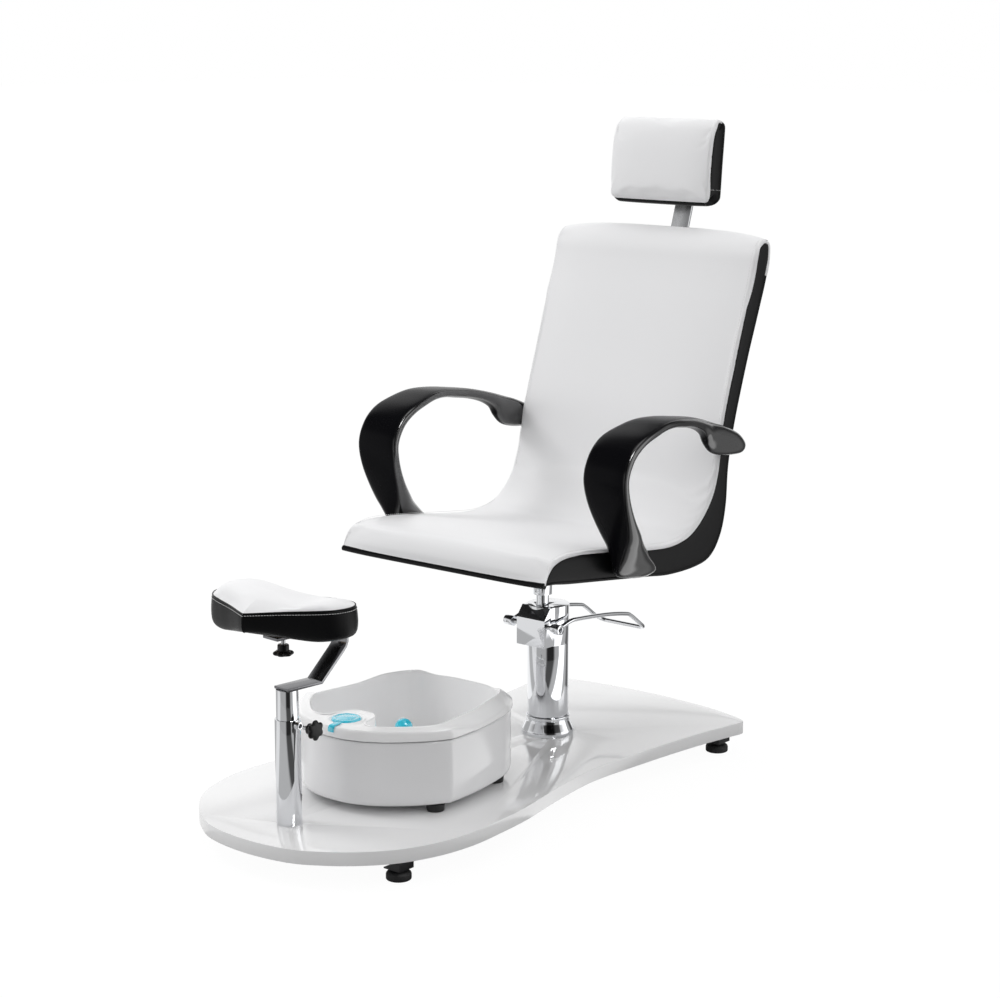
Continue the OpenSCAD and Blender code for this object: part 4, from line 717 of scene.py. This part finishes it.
for name, line, high, bend, finish, stands in (
    ("headrest_cover", front, 0.0055, 0.0085, leather_white, "headrest_pad"),
    ("headrest_back", rear, 0.0012, 0.0040, leather_black, "headrest_shell"),
):
    crown = eased_in(len(line), high, 0.0004, 0.0004, 9)
    roll = eased_in(len(line), bend, bend * 0.6, 0.003, 10)
    sink = eased_in(len(line), 0.0, -0.0022, -0.0022, 3)
    grid = sheet_over(line, corner_width(line), crown, roll, 36, lift=sink)
    mesh = skin(name, laid(grid, head_place), round_v=False)
    if name == "headrest_cover":
        plumped(mesh, rim_of(mesh), 1.6, 0.003)
        for side, column in seam_columns:
            line = laid(grid[4:-4, column] + (0, -0.0002, 0), head_place)
            stitched("headrest_stitches_" + side, line, 0.0052, 0.0036, 0.0005, "headrest")
    placed(name, mesh, "headrest", finish, [stands], sharp=60)
whole = np.vstack((front[:-1], rear[:-1]))
seam_depth = np.where(np.arange(len(whole)) < len(front) - 1, 0.0078, 0.0034)
seam_depth = np.where(whole[:, 1] > 0.072, 0.0036, seam_depth)
for _ in range(6):
    seam_depth = (np.roll(seam_depth, 1) + seam_depth * 2 + np.roll(seam_depth, -1)) / 4
seam = grown(whole, seam_depth[:, None])
axis_line = np.column_stack((np.full(len(whole), -0.0235), np.clip(whole[:, 1], -0.058, 0.066)))
for side, way in (("left", 1), ("right", -1)):
    name = "headrest_side_" + side
    rings = []
    for share in (0, 0.05, 0.14, 0.3, 0.5, 0.7, 0.87, 1.0):
        wide = corner_width(whole) - 0.0028 + 0.0034 * (1 - (1 - share) ** 2.6)
        rings.append(np.column_stack((way * wide, seam + (axis_line - seam) * share)))
    placed(name, skin(name, laid(rings, head_place)), "headrest", leather_black, sharp=70)
    line = [(way * (pad_half + 0.0003), y, -0.052) for y in np.linspace(-0.0395, -0.0045, 12)]
    stitched("headrest_side_stitches_" + side, laid(line, head_place), 0.0045, 0.0038, 0.0004, "headrest")

# Footrest post and arm: a chromed sliding tube with a nylon glide in a chromed post, which a bolt
# holds from under the board. The tube carries an arm bent from flat steel, its colour painted darker than
# the chrome as painted shade, and darker still at its level ends.
nylon = Finish("nylon", (0.03, 0.03, 0.035), 0.45)
nylon.bump(nylon.noise(500), 0.0001, 0.4)
# Painted shade: the arm's copy of the chrome is painted dark, and darker still at its level ends.
arm_steel_painted_shade = Finish("arm_steel_painted_shade", (0.30, 0.30, 0.31), 0.16, slot="chrome", Metallic=1.0)
slope_middle = 0.359
ends_painted_shade = abs(coordinates(arm_steel_painted_shade.tree, "Object")[2] - slope_middle).ramp(0.040, 0.046)
arm_steel_painted_shade.drive("Base Color", ends_painted_shade.colours((0.26, 0.26, 0.27), (0.19, 0.19, 0.20)))
eased("footrest_post", 0.0007, chrome)
eased("mast_tube", 0.0005, chrome)
eased("footrest_arm", 0.0008, arm_steel_painted_shade)
eased("post_bolt", 0.0006, zinc)
dressed(chrome, "mast_cap")
dressed(nylon, "post_plug", "mast_glide")

# Footrest: a two-lobed white cushion with a saddle, a dark piped seam, and a deep black band whose
# lower edge rises toward the pointed front. Its outline is half shares, mirrored.
plywood = Finish("plywood", (0.52, 0.36, 0.20), 0.7)
layers = plywood.noise(60, 4, 0.6, (1, 1, 14)).ramp(0.35, 0.7)
plywood.drive("Base Color", layers.colours((0.60, 0.44, 0.27), (0.40, 0.26, 0.13)))
post_place, arm_turn = spot(0, -0.726, 0), turned_by(-5, "Z")
rest_place = post_place @ arm_turn @ Matrix.Translation((0, -0.007, 0)) @ turned_by(17, "Z")
half = [
    (0, 0), (0.09, 0.052), (0.38, 0.235), (0.64, 0.38), (0.86, 0.515), (0.96, 0.63), (1, 0.74), (0.985, 0.85),
    (0.90, 0.945), (0.74, 0.99), (0.55, 1), (0.34, 0.975), (0.15, 0.945), (0, 0.935),
]
rest_half, rest_long, stud_x, seam_z = 0.143, 0.172, 0.015, 0.4017
stud_y = rest_long * 0.6
half = np.array(half) * (rest_half, rest_long)
half = np.vstack((half[0], curved(half[1:], 8)))
outline = evenly(np.vstack((half, (half * (-1, 1))[::-1][1:])), 0.0042)[:-1] - (0, stud_y)
ridge = curved([
    (-1.05, 0.0265), (-0.85, 0.0292), (-0.65, 0.0300), (-0.45, 0.0288), (-0.2, 0.0248), (0, 0.0200),
    (0.2, 0.0128), (0.43, 0.0058), (0.58, 0.0064), (0.75, 0.0096), (0.9, 0.0092), (1.05, 0.0070),
], 8)
shares = np.array([1.004, 1.0, 0.985, 0.96, 0.93, 0.89, 0.84, 0.78, 0.71, 0.63, 0.54, 0.44, 0.33, 0.2, 0.08])
inward = 1 - shares
bases = [(-0.01, -0.002), (0, 0), (0.02, 0.0026), (0.06, 0.0046), (0.12, 0.0056), (0.3, 0.0050), (1, 0.0036)]
lifts = [(-0.01, 0), (0, 0), (0.03, 0.10), (0.1, 0.38), (0.2, 0.64), (0.36, 0.84), (0.6, 0.9), (1, 0.88)]
base, lift = np.interp(inward, *zip(*bases)), np.interp(inward, *zip(*lifts))
rings = []
for share, low, high in zip(shares, base, lift):
    x, y = (outline * share * 0.972).T
    calm = np.clip((y + stud_y) / 0.055, 0, 1)
    swell = np.interp(x / rest_half, ridge[:, 0], ridge[:, 1])
    rings.append(np.column_stack((x - stud_x, y, seam_z + low * 0.7 + high * swell * (0.55 + 0.45 * calm))))
mesh = skin("footrest_top", laid(rings[::-1], rest_place), caps="first")
plumped(mesh, np.arange(len(mesh.vertices)) >= len(mesh.vertices) - 2 * len(outline), 1.6, 0.003)
top = placed("footrest_top", mesh, "footrest_cushion", leather_white, ["footrest_cushion"], sharp=60)
low_edge = 0.3475 + 0.0205 * (1 - soft(outline[:, 1] + stud_y, 0, 0.085))
band_deep = seam_z - 0.0006 - low_edge


def band_ring(up, grow):
    """A ring of the band at a share of its depth, grown from the outline."""
    return np.column_stack((outline * grow - (stud_x, 0), low_edge + band_deep * up))


band_rings = np.array([band_ring(up, grow) for up, grow in (
    (-0.02, 0.90), (0.0, 0.925), (0.04, 0.955), (0.1, 0.978), (0.2, 0.995), (0.34, 1.003), (0.5, 1.005),
    (0.66, 1.002), (0.8, 0.997), (0.9, 0.991), (0.96, 0.985), (1.0, 0.974), (0.998, 0.955),
)])
band = skin("footrest_band", laid(band_rings, rest_place), caps=True)
band = placed("footrest_band_look", band, "footrest_cushion", leather_black, ["footrest_band"], sharp=60)
line = np.column_stack((outline * 0.974 - (stud_x, 0), np.full(len(outline), seam_z + 0.0002)))
line = laid(np.vstack((line, line[:1])), rest_place)
placed("footrest_piping", skin("footrest_piping", wire(line, 0.0013, 10)), "footrest_cushion", leather_black)
board_line = outline * 0.66
board_line[:, 1] = np.maximum(board_line[:, 1], 0.080 - stud_y)
board = [np.column_stack((board_line * grow - (stud_x, 0), np.full(len(outline), z))) for grow, z in (
    (0.985, 0.3457), (1, 0.3464), (1, 0.3527),
)]
board = skin("footrest_board", laid(board, rest_place), caps=True)
placed("footrest_board_look", board, "footrest_cushion", plywood, ["footrest_board"])
line = band_ring(0.918, 0.9922)
line = laid(np.vstack((line, line[:1])), rest_place)
stitched("footrest_stitches", line, 0.0048, 0.0038, 0.0005, "footrest_cushion")
line = laid(band_rings[1:12, 0] + (0, -0.0002, 0), rest_place)
tip_seam = skin("footrest_tip_seam", wire(line, 0.0007, 8), caps=True)
placed("footrest_tip_seam", tip_seam, "footrest_cushion", leather_black)


# Star knobs: six soft lobes on a hub, moulded in black, each on a zinc-plated stud. Sizes are for the
# knob of the post and the one under the footrest; the one behind the back keeps its CAD shape.
def lathed(rows, place, sides=64):
    """Rings of a turned form: radius and height in millimetres."""
    turn = np.linspace(0, 2 * math.pi, sides, endpoint=False)
    rings = [np.column_stack((np.cos(turn) * r, np.sin(turn) * r, np.full(sides, z))) / 1000 for r, z in rows]
    return laid(rings, place)


knob_black = Finish("knob_black", (0.006, 0.006, 0.0065), 0.34, Specular_IOR_Level=0.3)
knob_black.bump(knob_black.noise(1200), 0.00008, 0.5)
knob_radius, lobes, knob_sides = 18.5, 6, 96
notch = (0.5 - 0.5 * np.cos(np.linspace(0, 2 * math.pi, knob_sides, endpoint=False) * lobes)) ** 1.6
knob_rows = [
    (knob_radius * share * (1 - 0.2 * notch * np.clip((share - 0.5) / 0.4, 0, 1)), z) for share, z in (
        (0.02, 0), (0.5, 0), (0.72, 0.3), (0.86, 0.9), (0.95, 1.9), (0.99, 3.0), (1, 4.1), (0.99, 5.2),
        (0.95, 6.4), (0.86, 7.5), (0.74, 8.1), (0.64, 8.5), (0.58, 9.3), (0.56, 10.5), (0.555, 17.4),
        (0.545, 18.9), (0.5, 19.8), (0.4, 20.06), (0.02, 20.06),
    )
]
stud_rows = [(0.5, 19), (4, 19), (4, 32.5), (0.5, 32.5)]
for name, place in (
    ("post_knob", post_place @ Matrix.Translation((0.07206, 0, 0.183)) @ turned_by(-90, "Y")),
    ("footrest_knob", post_place @ arm_turn @ Matrix.Translation((0, -0.007, 0.30744))),
):
    body = frame["nodes"][name]["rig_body"]
    knob = skin(name, lathed(knob_rows, place, knob_sides), caps=True)
    placed(name + "_look", knob, body, knob_black, [name])
    placed(name + "_stud", skin(name + "_stud", lathed(stud_rows, place, 16), caps=True), body, zinc)
eased("guide_knob", 0.001, knob_black)

# Basin: a glossy moulded shell under a tub whose rim slopes outward at the sides and dips at the rear.
# Outlines are half shares of width and length, from the front.
basin_white = Finish("basin_white", (0.86, 0.86, 0.87), 0.16, Coat_Weight=0.3, Coat_Roughness=0.06)
basin_white.bump(basin_white.noise(30), 0.0003, 0.15)
# Painted light: the tub's copy of the basin's white is painted lighter than the shell's, lifting the shade in
# its hollow.
tub_white_lit = Finish(
    "basin_white_tub_lit", (0.97, 0.97, 0.975), 0.16, slot="basin_white", Coat_Weight=0.3, Coat_Roughness=0.06,
)
tub_white_lit.bump(tub_white_lit.noise(30), 0.0003, 0.15)
eased("basin_feet", 0.0010, rubber)
eased("bubble_pump", 0.0010, steel_dark)
basin_place = spot(0, -0.624, 0)
basin_wide, basin_long, rim_z = 0.181, 0.398, 0.158
basin_half = [
    (0, 0), (0.25, 0.012), (0.50, 0.062), (0.72, 0.145), (0.89, 0.235), (0.983, 0.305), (1, 0.335),
    (0.985, 0.480), (0.925, 0.650), (0.830, 0.800), (0.660, 0.915), (0.360, 0.985), (0, 1),
]
mouth_half = [
    (0, 0.250), (0.11, 0.247), (0.205, 0.200), (0.265, 0.115), (0.42, 0.103), (0.62, 0.170), (0.78, 0.250),
    (0.845, 0.330), (0.800, 0.480), (0.760, 0.640), (0.700, 0.780), (0.560, 0.885), (0.300, 0.945),
    (0, 0.955),
]


def mirrored_loop(half, count=121):
    """A smooth closed outline from its right half, front to rear, with its points matched side to side."""
    half = np.array(half) * (basin_wide, basin_long)
    wide = np.vstack((half[1] * (-1, 1), half, half[-2] * (-1, 1)))
    right = evenly(curved(wide, 10)[10:-10], count=count)
    right[0, 0] = right[-1, 0] = 0
    return np.vstack((right, (right[1:-1] * (-1, 1))[::-1]))


def level(line, height):
    """A ring of an outline at a height, as points."""
    return np.column_stack((line, np.broadcast_to(height, len(line))))


def narrowed(line, middle, share):
    """An outline drawn in towards a middle."""
    return middle + (line - middle) * share


shell_line, mouth_line = mirrored_loop(basin_half), mirrored_loop(mouth_half)
rings = [level(narrowed(shell_line, np.array((0, 0.215)), 0.2), 0.0144)]
rings += [level(grown(shell_line, g / 1000), z / 1000) for g, z in (
    (-16, 14.4), (-9, 14.6), (-5, 15.8), (-2.4, 18), (-0.8, 21.5), (0, 27), (0, 60), (0, 100), (0, 128),
    (-0.3, 131.5), (-1.2, 133.2), (-3, 134),
)]
shell = skin("basin_shell", laid(rings, basin_place), caps="first")
placed("basin_shell_look", shell, "basin", basin_white, ["basin_shell"], sharp=50)
along_y = shell_line[:, 1] / basin_long
dip = 0.009 * soft(along_y, 0.93, 0.985) - 0.006 * soft(along_y, 0.60, 0.80)
top_z = rim_z - dip
edge_z = top_z - 0.002 - 0.010 * soft(along_y, 0.30, 0.50)
rings = [level(grown(shell_line, g / 1000), z) for g, z in (
    (-2.5, 0.1372), (1.2, 0.1362), (2.8, 0.1368), (3.2, 0.1384), (3.2, edge_z - 0.009),
    (3.0, edge_z - 0.0056), (2.2, edge_z - 0.0028), (0.8, edge_z - 0.0008), (-1.2, edge_z),
)]
outer_line, inner_line = grown(shell_line, -0.0012), grown(mouth_line, 0.0045)
dial_y = 0.046
for share in np.linspace(0, 1, 31)[1:]:
    line = outer_line + (inner_line - outer_line) * share
    away = np.linalg.norm(line - (0, dial_y), axis=1)
    collar = 0.0020 * np.exp(-(((away - 0.0325) / 0.0032) ** 2))
    recess = 0.0016 * (1 - soft(away, 0.0272, 0.029))
    rings.append(level(line, edge_z + (top_z - edge_z) * share ** 0.8 + collar - recess))
rings += [level(grown(mouth_line, g / 1000), top_z + z / 1000) for g, z in (
    (3.6, 0.9), (2.2, 1.5), (0.8, 1.0), (-0.3, -0.6), (-0.9, -3.2), (-1.2, -8),
)]
rings += [level(narrowed(grown(mouth_line, -0.0012), np.array((0, 0.235)), share), z) for share, z in (
    (0.985, 0.12), (0.965, 0.08), (0.945, 0.055), (0.92, 0.042), (0.88, 0.0345), (0.8, 0.031),
    (0.6, 0.030), (0.3, 0.030),
)]
tub = skin("basin_tub", laid(rings, basin_place))
placed("basin_tub_look", tub, "basin", tub_white_lit, ["basin_tub"], sharp=60)
ridge_place, dial_place = (basin_place @ Matrix.Translation((0, y, 0)) for y in (0.199, dial_y))
rows = [
    (36, 29.8), (34, 31), (30.5, 36), (27, 46), (22, 66), (19, 84), (17.8, 98), (17.2, 105.6), (10, 105.7),
]
placed("basin_ridge", skin("basin_ridge", lathed(rows, ridge_place)), "basin", basin_white, sharp=50)

# Dial, window and dome: clear cyan mouldings. The dial turns on the rim's front, the window is a thin
# bent tab over the mouth's edge, and the massage dome stands on the ridge in the tub.
cyan = Finish(
    "cyan", (0.05, 0.74, 0.96), 0.08, Transmission_Weight=0.15, Coat_Weight=1.0, Coat_Roughness=0.03,
    Coat_IOR=1.8,
)
cyan.bump(cyan.cells(150), 0.0035, 0.6)
rows = [
    (27, 155.8), (27, 158.4), (26.4, 159.7), (24.6, 160.5), (20.5, 160.9), (19.4, 160.2), (18.0, 160.6),
    (9, 161.6), (1, 161.8),
]
dial = skin("control_dial", lathed(rows, dial_place))
placed("control_dial_look", dial, "control_dial", cyan, ["control_dial"], sharp=40)
bend = curved([
    (0.0205, 0.1582), (0.012, 0.1584), (0.004, 0.1578), (-0.0006, 0.1566), (-0.0032, 0.1535),
    (-0.0040, 0.1490), (-0.0040, 0.1462),
], 4)
across = curved([
    (0.0022, 0.0), (0.0026, 0.0008), (0.009, 0.0012), (0.0154, 0.0008), (0.0158, 0.0), (0.0154, -0.0010),
    (0.009, -0.0012), (0.0026, -0.0010), (0.0022, 0.0),
], 2)[:-1]
along = np.gradient(bend, axis=0)
along /= np.linalg.norm(along, axis=1)[:, None]
rings = [[(x, y + t[1] * h, z - t[0] * h) for x, h in across] for (y, z), t in zip(bend, along)]
window = skin("dial_lens", laid(rings, basin_place), caps=True)
placed("dial_lens_look", window, "basin", cyan, ["dial_lens"], sharp=60)
dome_radius, dome_foot = 17, 106
climb = np.linspace(0, math.pi / 2 - 0.02, 18)
rows = [(2, dome_foot - 0.1)]
rows += [(dome_radius * math.cos(a), dome_foot + dome_radius * math.sin(a)) for a in climb]
dome = skin("massage_dome", lathed(rows, ridge_place))
placed("massage_dome_look", dome, "basin", cyan, ["massage_dome"], sharp=60)
